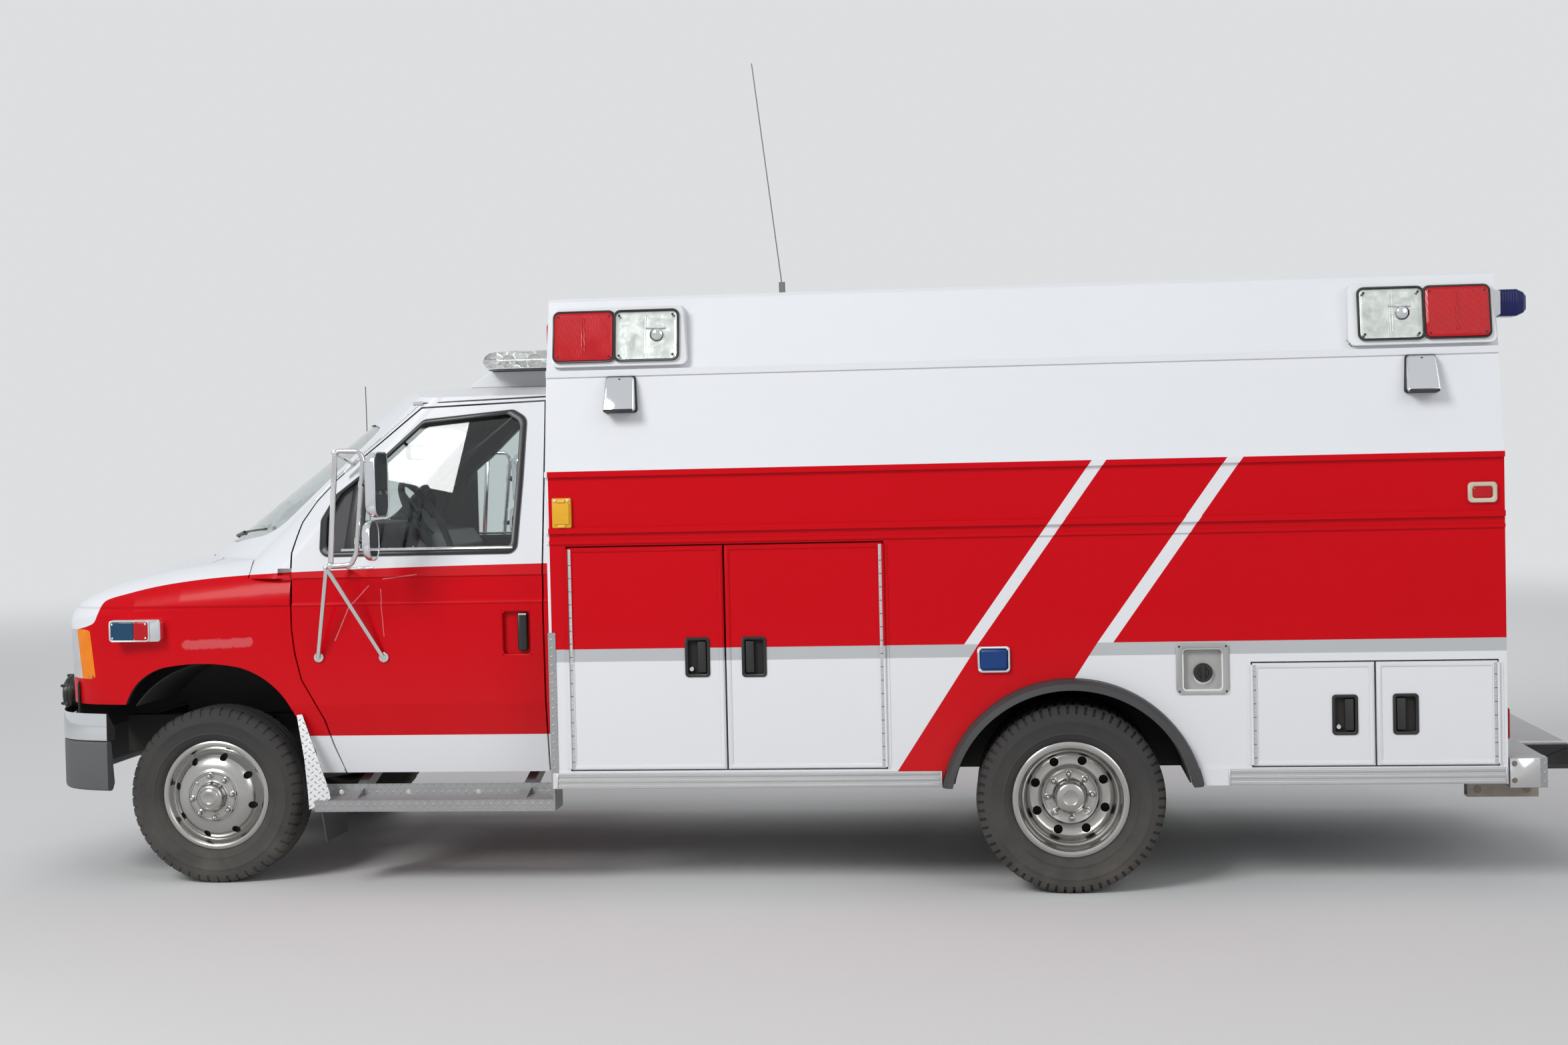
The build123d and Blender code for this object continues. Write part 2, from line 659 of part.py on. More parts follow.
def bumper_plan(inset):
    """The bumper's outline from above, drawn in by the inset."""
    right = [(x + inset, max(0, y - inset)) for x, y in bumper_half]
    right[-1] = (bumper_half[-1][0], bumper_half[-1][1] - inset)
    left = [(x, -y) for x, y in reversed(right[1:])]
    return right + left


def bumper_band(z0, z1, wall, stand_back=0):
    """A band that follows the bumper's plan, open at the back."""
    outer = plan_prism(bumper_plan(stand_back), z0, z1)
    inner = plan_prism(bumper_plan(stand_back + wall), z0 - 1, z1 + 1)
    return outer - inner - block(-426, -300, -1100, 1100, z0 - 1, z1 + 1)


def front_bumper():
    """Chromed bar with a sloping top."""
    bar = bumper_band(600, 716, 45)
    slope = side_prism([(-800, 640), (-800, 730), (-520, 730), (-720, 660)], -1100, 1100)
    brackets = [block(-700, rail_front - 0.3, side * 380, side * 420, 610, 640) for side in (-1, 1)]
    return bar - slope + brackets


def bumper_valance():
    """Grey moulding under the bar."""
    upper = bumper_band(566, 600 - seat_clearance, 40, 6)
    lower = bumper_band(392, 566, 40, 0)
    return upper + lower


def wheel_liner(side):
    """Curved inner fender above the front wheel."""
    y0, y1 = side * 480, side * 930
    ring = y_cylinder(0, liner_height, liner_radius + liner_gauge, y0, y1) - y_cylinder(
        0, liner_height, liner_radius, side * 470, side * 940)
    return ring & (block(0, 436, y0, y1, 500, 1000) + block(-500, 1, y0, y1, 735, 1000))


def rear_liner(side):
    """Wheel house in the module, with its inner wall."""
    y0, y1 = side * 640, side * (module_half_width - module_wall - seat_clearance)
    drum = y_cylinder(wheel_opening_x, wheel_opening_height, wheel_opening_radius, y0, y1)
    hollow = y_cylinder(wheel_opening_x, wheel_opening_height, wheel_opening_radius - 6, side * 646, side * 1200)
    return (drum - hollow) & block(3000, 4020, y0, y1, module_bottom, 900)


def dashboard():
    """Dash panel with the instrument hood, steering column and wheel, and the engine cover."""
    x0 = firewall_front + firewall_gauge
    panel = side_prism([(x0, 1080), (x0, 1345), (470, 1425), (640, 1405), (690, 1330), (640, 1180), (520, 1060)],
                       -dash_half_width, dash_half_width, radius=20)
    binnacle = side_prism([(500, 1380), (520, 1480), (650, 1470), (700, 1400), (680, 1340)], -700, -270, radius=15)
    cover = side_prism([(x0, cab_floor_top), (x0, 1100), (560, 1100), (900, 960), (940, cab_floor_top)], -225, 225,
                       radius=30)
    hub = Vector(790, -480, 1470)
    lean = Vector(0.87, 0, 0.49).normalized()
    column_start = hub - lean * 240
    column = rod(tuple(column_start), tuple(hub - lean * 20), 34)
    plane = Plane(hub, z_dir=lean)
    ring = plane * Torus(190, 15)
    boss = plane * Pos(0, 0, -12) * Cylinder(62, 40)
    spokes = [plane * Rot(0, 0, turn) * Pos(95, 0, -8) * Box(190, 30, 14) for turn in (30, 150, 270)]
    return joined([panel, binnacle, cover, column, ring, boss] + spokes)


def seat(side):
    """Bucket seat: cushion, leaning back and head rest on a pedestal."""
    middle = side * seat_y
    y0, y1 = middle - 240, middle + 240
    cushion = side_prism([(800, 900), (790, 1000), (860, 1040), (1250, 1000), (1290, 900)], y0, y1, radius=30)
    back = side_prism([(1180, 960), (1290, 930), (1385, 1560), (1365, 1600), (1290, 1580)], y0, y1, radius=25)
    head = side_prism([(1300, 1570), (1375, 1570), (1395, 1740), (1330, 1750)], middle - 130, middle + 130, radius=25)
    return joined([cushion, back, head])


# Mirrors on each door
def cab_side_y(z):
    """Half width of the cab's outer face at a height above the belt."""
    share = (z - house_low[0]) / (house_high[0] - house_low[0])
    return house_low[1] + (house_high[1] - house_low[1]) * share


def mirror_set(side):
    """Bent tubes with two legs to the door, a hoop and an upper arm, and the two mirror heads."""
    y_out = side * 1235
    y_skin = side * (cab_half_width - 1.7)
    y_pad = side * (cab_half_width + 10)
    pivot = (552, side * 1120, 1306)
    tube = 9
    parts = [rod((470, y_pad, 935), pivot, tube), rod((742, y_pad, 933), pivot, tube),
             rod((612, y_out, 1325), (650, y_out, 1765), tube), rod((650, y_out, 1765), (735, y_out, 1768), tube),
             rod((735, y_out, 1768), (712, y_out, 1325), tube), rod((712, y_out, 1325), (612, y_out, 1325), tube),
             rod((640, y_out, 1325), pivot, tube), rod((650, y_out, 1765), (636, side * 912, 1722), tube),
             rod(pivot, (600, side * (cab_side_y(1306) + 8), 1306), tube)]
    for corner in ((612, y_out, 1325), (650, y_out, 1765), (735, y_out, 1768), (712, y_out, 1325), pivot,
                   (640, y_out, 1325)):
        parts.append(Pos(*corner) * Sphere(tube + 0.5))
    for place in (470, 742):
        parts.append(y_cylinder(place, 935, 20, y_skin, y_pad + side * 4))
    foot = side * (cab_side_y(1722) + 0.3)
    parts.append(block(600, 668, foot, side * 918, 1700, 1742) - glass_house(-0.3, 0))
    parts.append(block(572, 640, side * (cab_side_y(1306) - 30), side * 1010, 1290, 1322) - glass_house(-0.3, 0)
                 - cab_lower(300, 800, -0.3))
    head = block(772, 818, side * 1140, side * 1330, 1510, 1766)
    head = fillet(head.edges().filter_by(Axis.X), 30)
    small = block(750, 786, side * 1170, side * 1310, 1338, 1496)
    small = fillet(small.edges().filter_by(Axis.X), 25)
    parts += [head, small, rod((728, y_out, 1640), (780, y_out, 1640), 10),
              rod((715, y_out, 1415), (760, y_out, 1415), 8)]
    return joined(parts)


# Module walls: half width and height of the outer face, from the skirt to the eaves
wall_section = [(module_half_width, module_bottom), (module_half_width, side_break_height),
                (bend_half_width, bend_height), (eave_half_width, eave_height)]
# Rails along the side, columns: low edge, high edge, stand-out
side_rails = [(1650, 1672, 15), (1427, 1449, 15), (1385, 1399, 8)]
skirt_rail = (415, 478, 12)
bend_rail = (2046, 2072, 10)
# Doors in the left and right walls, columns: name, front edge, rear edge, low edge, high edge, hinged edge
left_doors = [("left_locker_door_1", 1549, 2171, 490, 1370, "front"),
              ("left_locker_door_2", 2171, 2794, 490, 1370, "rear"),
              ("left_locker_door_3", 4202, 4661, 487, 881, "front"),
              ("left_locker_door_4", 4661, 5112, 487, 881, "rear")]
right_doors = [("right_locker_door_1", 1549, 1940, 490, 1370, "front"),
               ("entry_door", 2010, 2800, 490, 2010, "front"),
               ("right_locker_door_2", 4202, 5112, 487, 881, "rear")]
# Lockers behind them, columns: front, rear, low, high
left_lockers = [(1549, 2794, 490, 1370), (4202, 5070, 487, 881)]
right_lockers = [(1549, 1940, 490, 1370), (4202, 5070, 487, 881)]
entry_opening = (2010, 2800, 490, 2010)
entry_window = [(2170, 1320), (2640, 1320), (2640, 1640), (2170, 1640)]
fuel_recess = (3938, 4092, 778, 942)
# Recessed handles in the lockers' doors, columns: front edge, rear edge, low edge, high edge
left_handles = [(2018, 2103, 860, 1003), (2243, 2327, 858, 1003), (4505, 4588, 610, 751), (4731, 4813, 610, 753)]
right_handles = [(1842, 1925, 860, 1003), (2700, 2784, 960, 1110), (4222, 4305, 610, 751)]


def rectangle(x0, x1, z0, z1):
    """Corner points of a rectangle."""
    return [(x0, z0), (x1, z0), (x1, z1), (x0, z1)]


def plain_wall(side):
    """The whole side with its rails, before any opening is cut."""
    points = [(side * w, z) for w, z in wall_section]
    points += [(side * (w - module_wall), z) for w, z in reversed(wall_section)]
    parts = [front_prism(points, module_front, module_rear)]
    for z0, z1, out in side_rails:
        parts.append(block(module_front, module_rear, side * (module_half_width - 5),
                           side * (module_half_width + out), z0, z1))
    z0, z1, out = bend_rail
    parts.append(front_prism([(side * (bend_half_width - 8), z0), (side * (bend_half_width + out), z0),
                              (side * (bend_half_width + out), z1), (side * (bend_half_width - 8), z1)],
                             module_front, module_rear))
    z0, z1, out = skirt_rail
    parts.append(block(module_front + 22, module_rear - 2, side * (module_half_width - 5),
                       side * (module_half_width + out), z0, z1))
    wall = joined(parts)
    wall = wall - y_cylinder(wheel_opening_x, wheel_opening_height, wheel_opening_radius, side * 1000, side * 1300)
    wall = wall - y_cylinder(wheel_opening_x, wheel_opening_height, wheel_opening_radius + flare_width + 1,
                             side * (module_half_width + 0.2), side * 1300)
    return wall - block(
        wheel_opening_x - wheel_opening_radius, wheel_opening_x + wheel_opening_radius, side * 1000, side * 1300,
        400, wheel_opening_height)


def locker_box(side, x0, x1, z0, z1):
    """Open-fronted box behind a locker's doors."""
    t = locker_wall
    mouth = side * (module_half_width - module_wall)
    back = side * (module_half_width - module_wall - locker_depth)
    outer = block(x0 - t, x1 + t, mouth, back, z0 - t, z1 + t)
    return outer - block(x0, x1, mouth + side, back + side * t, z0, z1)


def side_hinge(side, x, z0, z1, onto):
    """Continuous hinge on the skin: the door's leaf with the barrel, and the wall's leaf."""
    skin, axis_y = module_half_width, module_half_width + hinge_stand
    barrel = Pos(x, side * axis_y, (z0 + z1) / 2) * Cylinder(hinge_radius, z1 - z0)
    leaf_top = skin + hinge_stand - hinge_radius
    door_leaf = block(x, x + onto * hinge_leaf, side * (skin - 2), side * (leaf_top + 0.6), z0, z1)
    wall_leaf = block(x - onto * hinge_leaf, x - onto * 1, side * (skin - 2), side * (leaf_top - seat_clearance),
                      z0, z1)
    return barrel + door_leaf, wall_leaf


def side_wall(side, doors, lockers, handles):
    """One side of the module, and its doors cut from the same wall."""
    wall = plain_wall(side)
    near, far = side * 900, side * 1300
    half = pair_gap / 2
    made = []
    for name, x0, x1, z0, z1, hinged in doors:
        fore = half if any(x0 == other[2] for other in doors) else 0
        aft = half if any(x1 == other[1] for other in doors) else 0
        made.append((name, wall & side_prism(rectangle(x0 + fore, x1 - aft, z0, z1), near, far)))
    for name, x0, x1, z0, z1, hinged in doors:
        wall = wall - side_prism(rectangle(x0 - panel_gap, x1 + panel_gap, z0 - panel_gap, z1 + panel_gap), near, far)
    if side > 0:
        x0 = entry_opening[0] - panel_gap
        wall = wall - block(x0 - 24, x0 + 1, module_half_width, far, 1380, side_break_height)
    hinges = {}
    for name, x0, x1, z0, z1, hinged in doors:
        axis_x = x0 - panel_gap / 2 if hinged == "front" else x1 + panel_gap / 2
        door_leaf, wall_leaf = side_hinge(side, axis_x, z0 + 5, min(z1, side_break_height) - 5,
                                          1 if hinged == "front" else -1)
        gap = side_prism(rectangle(x0 - panel_gap, x1 + panel_gap, z0 - panel_gap, z1 + panel_gap), near,
                         side * module_half_width)
        hinges[name] = door_leaf - (gap - side_prism(rectangle(x0, x1, z0, z1), near, side * module_half_width))
        wall = wall + (wall_leaf - gap)
    doors_out = []
    for name, door in made:
        door = door + hinges[name]
        for x0, x1, z0, z1 in handles:
            door = door - block(x0, x1, side * (module_half_width - handle_depth), far, z0, z1)
        if name == "entry_door":
            door = door - side_prism(entry_window, near, far, radius=40)
            x0 = entry_opening[0]
            door = door - block(x0 - 1, x0 + 30, side * module_half_width, far, 1300, side_break_height)
        doors_out.append((name, door))
    for box in lockers:
        wall = wall + locker_box(side, *box)
    return wall, doors_out


# Number plate holes in the rear wall
plate_height = 660
plate_spacing_y = 177.8
plate_spacing_z = 120.65
plate_hole_radius = 3.5
rear_door_half = 610
rear_door_low, rear_door_high = 770, 2130
rear_window = [(150, 1480), (470, 1480), (470, 1890), (150, 1890)]


def module_shell():
    """Floor, roof, front wall and rear wall as one frame between the sides, and the two rear doors."""
    floor_top = module_floor_bottom + module_floor_gauge
    inner = [(w - module_wall, z) for w, z in wall_section[:-1]] + [(eave_half_width - module_wall, eave_height)]
    body = front_prism(inner + [(-w, z) for w, z in reversed(inner)], module_front, module_rear)
    body = body - block(module_front - 1, module_rear - module_wall, -1200, 1200, 300, module_floor_bottom)
    body = body - block(module_rear - module_wall - 1, module_rear + 1, -1200, 1200, 300, 520)
    body = body - block(module_front + module_wall, module_rear - module_wall, -1200, 1200, floor_top, eave_height)
    roof = front_prism([(-eave_half_width, eave_height), (eave_half_width, eave_height),
                        (eave_half_width - 4, roof_edge_height - 14), (eave_half_width - 22, roof_edge_height),
                        (0, roof_edge_height + roof_crown), (-eave_half_width + 22, roof_edge_height),
                        (-eave_half_width + 4, roof_edge_height - 14)], module_front, module_rear)
    body = body + roof
    for side, lockers in ((-1, left_lockers), (1, right_lockers)):
        for x0, x1, z0, z1 in lockers:
            t = locker_wall
            body = body - block(x0 - t, x1 + t, side * 1300, side * (module_half_width - module_wall - locker_depth),
                                z0 - t, z1 + t)
    reach = panel_gap + locker_wall
    body = body - block(entry_opening[0] - reach, entry_opening[1] + reach, 760, 1300, 400, floor_top + 1)
    body = body - block(module_front - 1, module_front + module_wall + 1, -300, 300, 1180, 1780)
    doors = []
    for side in (-1, 1):
        door = body & block(module_rear - module_wall, module_rear, side * pair_gap / 2, side * rear_door_half,
                            rear_door_low, rear_door_high)
        window = front_prism([(side * y, z) for y, z in rear_window], module_rear - 100, module_rear + 10, radius=40)
        doors.append(door - window)
    g = panel_gap
    body = body - block(module_rear - module_wall - seat_clearance, module_rear + 1, -rear_door_half - g,
                        rear_door_half + g, rear_door_low - g, rear_door_high + g)
    for number, side in enumerate((-1, 1)):
        for z in rear_hinge_heights:
            door_half, wall_half = rear_hinge(side, z)
            doors[number] = doors[number] + door_half
            body = body + wall_half
    for y in (-plate_spacing_y / 2, plate_spacing_y / 2):
        for z in (plate_height - plate_spacing_z / 2, plate_height + plate_spacing_z / 2):
            body = body - rod((module_rear - module_wall - 5, y, z), (module_rear + 5, y, z), plate_hole_radius)
    return body, doors


def rear_hinge(side, z):
    """Butt hinge of a rear door: the door's knuckle under the wall's, each on its leaf."""
    axis_x, axis_y = module_rear + rear_hinge_stand, rear_door_half + panel_gap / 2
    halves = []
    for z0, z1, y in ((z, z + 40, -1), (z + 40.3, z + 80, 1)):
        knuckle_barrel = Pos(axis_x, side * axis_y, (z0 + z1) / 2) * Cylinder(rear_hinge_radius, z1 - z0)
        leaf = block(module_rear, module_rear + 6, side * (axis_y + y * 3), side * (axis_y + y * 50), z0, z1)
        halves.append(knuckle_barrel + leaf)
    return halves


def step_well():
    """Step inside the side entry."""
    x0, x1, z0, z1 = entry_opening
    t = locker_wall
    floor_top = module_floor_bottom + module_floor_gauge
    g = panel_gap
    mouth = module_half_width - module_wall
    outer = block(x0 - g - t, x1 + g + t, 760, mouth, z0 - 30, floor_top)
    inner = block(x0 - g, x1 + g, 760 + t, mouth + 1, z0, floor_top + 1)
    return outer - inner


def flare(side):
    """Rubber moulding round the rear wheel's opening."""
    y = module_half_width + 0.3
    r = wheel_opening_radius
    w = flare_width
    profile = [(r, y), (r + w, y), (r + w - 4, y + 38), (r + 24, y + 60), (r, y + 66), (r, y + 54), (r + 16, y + 48),
               (r + 28, y + 30), (r + 32, y + 12), (r, y + 12)]
    ring = turned(profile, wheel_opening_x, wheel_opening_height, side)
    return ring & block(2900, 4200, side * 1100, side * 1300, module_bottom, 1000)


# Lamp pods on the leaning part of the walls, columns: front, rear, low, high
pods = [(1496, 2040, 2086, 2322), (4588, 5140, 2086, 2322)]
# Lenses on the pods, columns: front, rear, low, high
red_lenses = [(1506, 1747, 2106, 2303), (4872, 5114, 2106, 2303)]
clear_lenses = [(1751, 2003, 2106, 2303), (4628, 4868, 2106, 2303)]
# Scene lights under the pods, columns: front, rear, low, high
scene_lamps = [(1703, 1840, 1898, 2046), (4788, 4921, 1898, 2046)]
pod_low_stand, pod_high_stand = 32, 58
lens_stand = 22


def wall_y(z):
    """Half width of the module's outer face at a height."""
    for (w0, z0), (w1, z1) in zip(wall_section, wall_section[1:]):
        if z0 <= z <= z1:
            return w0 + (w1 - w0) * (z - z0) / (z1 - z0)
    return wall_section[-1][0]


def pod(side, x0, x1, z0, z1):
    """White moulded housing whose face stands a little steeper than the wall."""
    low, high = wall_y(z0) + pod_low_stand, wall_y(z1) + pod_high_stand
    points = [(side * (wall_y(z0) + 0.3), z0), (side * low, z0), (side * high, z1), (side * (wall_y(z1) + 0.3), z1)]
    shape = front_prism(points, x0, x1)
    return fillet(shape.edges().filter_by(Axis.X).sort_by(Axis.Y)[0 if side < 0 else -1], 8)


def pod_face_y(z, z0, z1):
    """How far out a pod's face is at a height, between its low and high edge."""
    low, high = wall_y(z0) + pod_low_stand, wall_y(z1) + pod_high_stand
    return low + (high - low) * (z - z0) / (z1 - z0)


def pod_lens(side, x0, x1, z0, z1):
    """Flat-faced lens with rounded corners, standing off its pod's face."""
    p0, p1 = pods[0][2], pods[0][3]
    near0, near1 = pod_face_y(z0, p0, p1) + 0.3, pod_face_y(z1, p0, p1) + 0.3
    shape = front_prism([(side * near0, z0), (side * (near0 + lens_stand), z0 + 6),
                         (side * (near1 + lens_stand), z1 - 6), (side * near1, z1)], x0, x1)
    return shape & side_prism(rectangle(x0, x1, z0 - 5, z1 + 5), side * 900, side * 1300, radius=24)


def scene_lamp(side, x0, x1, z0, z1):
    """Chromed flood lamp, deeper at the bottom."""
    return front_prism([(side * (wall_y(z0) + 0.3), z0), (side * (wall_y(z0) + 78), z0),
                        (side * (wall_y(z0) + 70), z0 + 34), (side * (wall_y(z1) + 34), z1),
                        (side * (wall_y(z1) + 0.3), z1)], x0, x1)


def lamp_housings():
    """Pods, scene lamps, fender lamp housings, tail lamp panels and the bases of the end lamps."""
    parts = []
    for side in (-1, 1):
        parts += [pod(side, *p) for p in pods]
        parts += [scene_lamp(side, *p) for p in scene_lamps]
        fender = block(-400, -188, side * 940, side * (cab_half_width + 34), 1012, 1102)
        parts.append(fillet(fender.edges().filter_by(Axis.Z), 10) - nose(-seat_clearance))
        parts.append(block(3156, 3284, side * (module_half_width + 0.3), side * (module_half_width + 12), 857, 960))
        parts.append(block(5010, 5118, side * (module_half_width + 0.3), side * (module_half_width + 10), 1479, 1556))
        y0, y1 = side * 840, side * 960
        parts.append(block(module_rear + 0.3, module_rear + 42, y0, y1, 2188, 2298))
        parts.append(block(module_rear + 0.3, module_rear + 14, side * 700, side * 1100, 560, 700))
        parts.append(block(module_front - 30, module_front - 0.3, side * 620, side * 860, 2130, 2290))
    parts.append(block(1495, 1575, -(module_half_width + 22), -(module_half_width + 0.3), 1450, 1570))
    return parts


def lamp_lenses():
    """Coloured and clear lenses of the lamps, each seated on its housing."""
    parts = []
    for side in (-1, 1):
        parts += [pod_lens(side, *p) for p in red_lenses + clear_lenses]
        y = side * (cab_half_width + 34.3)
        parts += [block(-398, -300, y, y + side * 8, 1018, 1096), block(-294, -232, y, y + side * 8, 1018, 1096)]
        y = side * (module_half_width + 12.3)
        parts.append(block(3166, 3274, y, y + side * 24, 867, 950))
        y = side * (module_half_width + 10.3)
        parts.append(block(5026, 5102, y, y + side * 8, 1495, 1540))
        parts.append(block(module_rear + 42.3, module_rear + 144, side * 840, side * 960, 2190, 2296))
        for y0, y1 in ((706, 836), (842, 964), (970, 1094)):
            parts.append(block(module_rear + 14.3, module_rear + 30, side * y0, side * y1, 566, 694))
        parts.append(block(module_front - 52, module_front - 30.3, side * 628, side * 852, 2138, 2282))
    return parts


def fuel_filler():
    """Bezel, recessed cup and cap of the fuel filler."""
    x0, x1, z0, z1 = fuel_recess
    face = -module_half_width
    depth = module_wall - 8
    bezel = side_prism(rectangle(x0 - 22, x1 + 24, z0 - 15, z1 + 20), face - 4, face, radius=14)
    cup = block(x0, x1, face - 2, face + depth, z0, z1)
    hollow = side_prism(rectangle(x0 + 5, x1 - 5, z0 + 5, z1 - 5), face - 10, face + depth - 4, radius=12)
    cap = y_cylinder(4018, 836, 36, face + depth - 2, face + 18)
    return bezel + cup - hollow + cap


def light_bar():
    """Lens of the bar across the cab roof: a low dome with tapered ends."""
    lens = front_prism([(-610, 2146), (-575, 2108.3), (575, 2108.3), (610, 2146), (560, 2188), (420, 2196),
                        (-420, 2196), (-560, 2188)], 1050, 1460)
    cut = side_prism([(1080, 2050), (1430, 2050), (1445, 2150), (1400, 2210), (1130, 2210), (1067, 2160)],
                     -700, 700)
    return lens & cut


def light_bar_base():
    """White foot that follows the crown of the roof."""
    foot = side_prism([(993, 2000), (993, 2050), (1080, 2108), (1400, 2108), (1420, 2090), (1420, 2000)], -460, 460)
    return foot - glass_house(-0.3, -0.3)


aerial_y = 885


def antennas():
    """Whip on the module's roof and radio aerial on the cowl."""
    roof_z = roof_edge_height + roof_crown * (1 - 500 / (eave_half_width - 22))
    base = Pos(2355, -500, roof_z + 36) * Cylinder(13, 70)
    whip = rod((2355, -500, roof_z + 60), (2247, -500, 3370), 2.5)
    mast = rod((116, aerial_y, 1300), (110, aerial_y, 2115), 2.5)
    foot = Pos(116, aerial_y, 1335) * Cylinder(11, 40)
    return [base + whip, foot + mast - nose(-0.3)]


def driving_lamp(side):
    """Round lamp on the bumper, with its foot."""
    bowl = Plane(origin=(-760, side * 600, 758), z_dir=(-1, 0, 0)) * Cylinder(76, 40)
    back = Plane(origin=(-722, side * 600, 758), z_dir=(1, 0, 0)) * Cone(76, 40, 44)
    rim = Plane(origin=(-784, side * 600, 758), z_dir=(-1, 0, 0)) * Cylinder(70, 12)
    cap = Plane(origin=(-799, side * 600, 758), z_dir=(-1, 0, 0)) * Cylinder(22, 22)
    foot = block(-716, -690, side * 600 - 14, side * 600 + 14, 640, 760)
    return joined([bowl, back, rim, cap, foot]) - front_bumper()


# Running boards and tread plates
board_out, board_in = 1130, 985
guard_outline = [(372, 700), (395, 702), (487, 498), (531, 402), (539, 372), (454, 329), (444, 389), (418, 525)]


def running_board(side):
    """Folded tread plate with a kick panel, carried by two arms from the frame."""
    s = side
    board = front_prism([(s * board_in, 412), (s * (board_in + 4), 412), (s * (board_in + 4), 368),
                         (s * board_out, 366), (s * board_out, 320), (s * (board_out - 4), 320),
                         (s * (board_out - 4), 361), (s * board_in, 363)], 477, 1462)
    root = rail_half_gap + rail_flange + seat_clearance
    arms = [front_prism([(s * root, 560), (s * root, 600), (s * 620, 500), (s * 1100, 364), (s * 1100, 345),
                         (s * 985, 345), (s * 600, 460)], x, x + 40) for x in (600, 1300)]
    plate = front_prism([(s * 1009, 705), (s * 1013, 705), (s * 1132, 322), (s * 1128, 322)], 350, 560)
    guard = plate & side_prism(guard_outline, s * 900, s * 1200)
    end = block(1460, 1466, s * board_in, s * board_out, 320, 412)
    return joined([board, end] + arms), guard


def corner_guard(side):
    """Tread plate angle on the module's front corner."""
    y = side * (module_half_width + 0.3)
    leg = block(module_front - 4, 1494, y, y + side * 3, 480, 1035)
    front = block(module_front - 4, module_front - 0.3, side * 1012, y + side * 3, 417, 1035)
    return leg + front


receiver_height, receiver_rear, receiver_half = 418, 5440, 25.4
pin_hole_radius = 8


def rear_bumper():
    """Step bumper: boxed ends, a deeper middle step and its brackets to the frame."""
    parts = []
    for side in (-1, 1):
        end = block(module_rear + 6, 5292, side * 560, side * 1170, 397, 510)
        end = end - block(module_rear + 12, 5286, side * 566, side * 1164, 396, 504)
        parts.append(end)
        near, far = side * (rail_half_gap + 20), side * (rail_half_gap + 62)
        rail_low = rail_top - rail_depth - seat_clearance
        parts.append(block(rail_rear - 90, 5300, near, far, 470, 510))
        parts.append(block(rail_rear - 90, rail_rear - 5, near, far, 500, rail_low))
        parts.append(block(5030, 5298, side * 940, side * 1000, 336, 396.7) - block(
            5020, 5310, side * 948, side * 992, 344, 388))
        parts.append(block(5200, 5260, side * 940, side * 1000, 390, 504))
    step = block(module_rear + 6, step_rear, -700, 700, 458, 502)
    step = fillet(step.edges().filter_by(Axis.Y).group_by(Axis.X)[-1], 16)
    step = step - block(module_rear + 12, step_rear - 40, -690, 690, 457, 494)
    rungs = [block(x, x + 14, -695, 695, 460, 500) for x in (5230, 5310, 5390)]
    parts += [step] + rungs
    middle = receiver_height
    receiver = block(5120, receiver_rear, -38, 38, middle - 38, middle + 38)
    receiver = receiver - block(5140, receiver_rear + 10, -receiver_half, receiver_half,
                                middle - receiver_half, middle + receiver_half)
    receiver = receiver - y_cylinder(receiver_rear - 40, middle, pin_hole_radius, -50, 50)
    parts += [receiver, block(5150, 5190, -430, 430, 447, 500)]
    return joined(parts)


def exhaust():
    """Pipe, silencer and side outlet under the right rail."""
    points = [(1100, 210, 520), (1600, 210, 500), (2200, 210, 500), (2520, 330, 470), (2760, 760, 410),
              (2880, 1130, 372)]
    runs = [rod(a, b, 30) for a, b in zip(points, points[1:])]
    knees = [Pos(*p) * Sphere(30) for p in points[1:-1]]
    silencer = rod((1640, 210, 500), (2180, 210, 500), 84)
    hangers = [block(x, x + 12, 195, 225, 560, rail_top - seat_clearance) for x in (1645, 2160)]
    return joined(runs + knees + [silencer] + hangers)


def fuel_tank():
    """Steel tank between the rails behind the axle, hung from two bars in the rails' channels."""
    tank = fillet(block(4075, 4880, -325, 325, 392, 588).edges(), 30)
    reach = rail_half_gap + rail_flange - rail_gauge - seat_clearance
    bars = [block(x, x + 40, -reach, reach, 580, 600) for x in (4250, 4660)]
    return joined([tank] + bars)


# Build and write
save("chassis_frame", *chassis_frame())
save("engine", engine())
save("front_beams", front_beam(-1), front_beam(1))
save("rear_axle", rear_axle())
save("springs", coil_spring(-1), coil_spring(1), leaf_spring(-1), leaf_spring(1))
for side, word in ((-1, "left"), (1, "right")):
    save(f"knuckle_{word}", knuckle(side))
    save(f"tyre_front_{word}", tyre(0, front_half_track, side))
    save(f"wheel_front_{word}", front_rim(side))
    save(f"tyres_rear_{word}", *[tyre(wheelbase, rear_half_track + k * dual_spacing / 2, side) for k in (-1, 1)])
    save(f"wheels_rear_{word}", rear_rims(side))
cab_shell, cab_doors = cab_parts()
save("cab_shell", cab_shell)
save("windscreen", windscreen())
body, hood, lamps = front_clip_parts()
save("front_clip", body)
save("hood", hood)
save("front_bumper", front_bumper())
save("front_mouldings", grille(), bumper_valance())
save("wheel_liners", wheel_liner(-1), wheel_liner(1), rear_liner(-1), rear_liner(1))
save("dashboard", dashboard())
save("seats", seat(-1), seat(1))
for side, word, door in ((-1, "left", cab_doors[0]), (1, "right", cab_doors[1])):
    save(f"cab_door_{word}", door)
    save(f"cab_glass_{word}", door_glass(side))
    save(f"mirror_{word}", mirror_set(side))

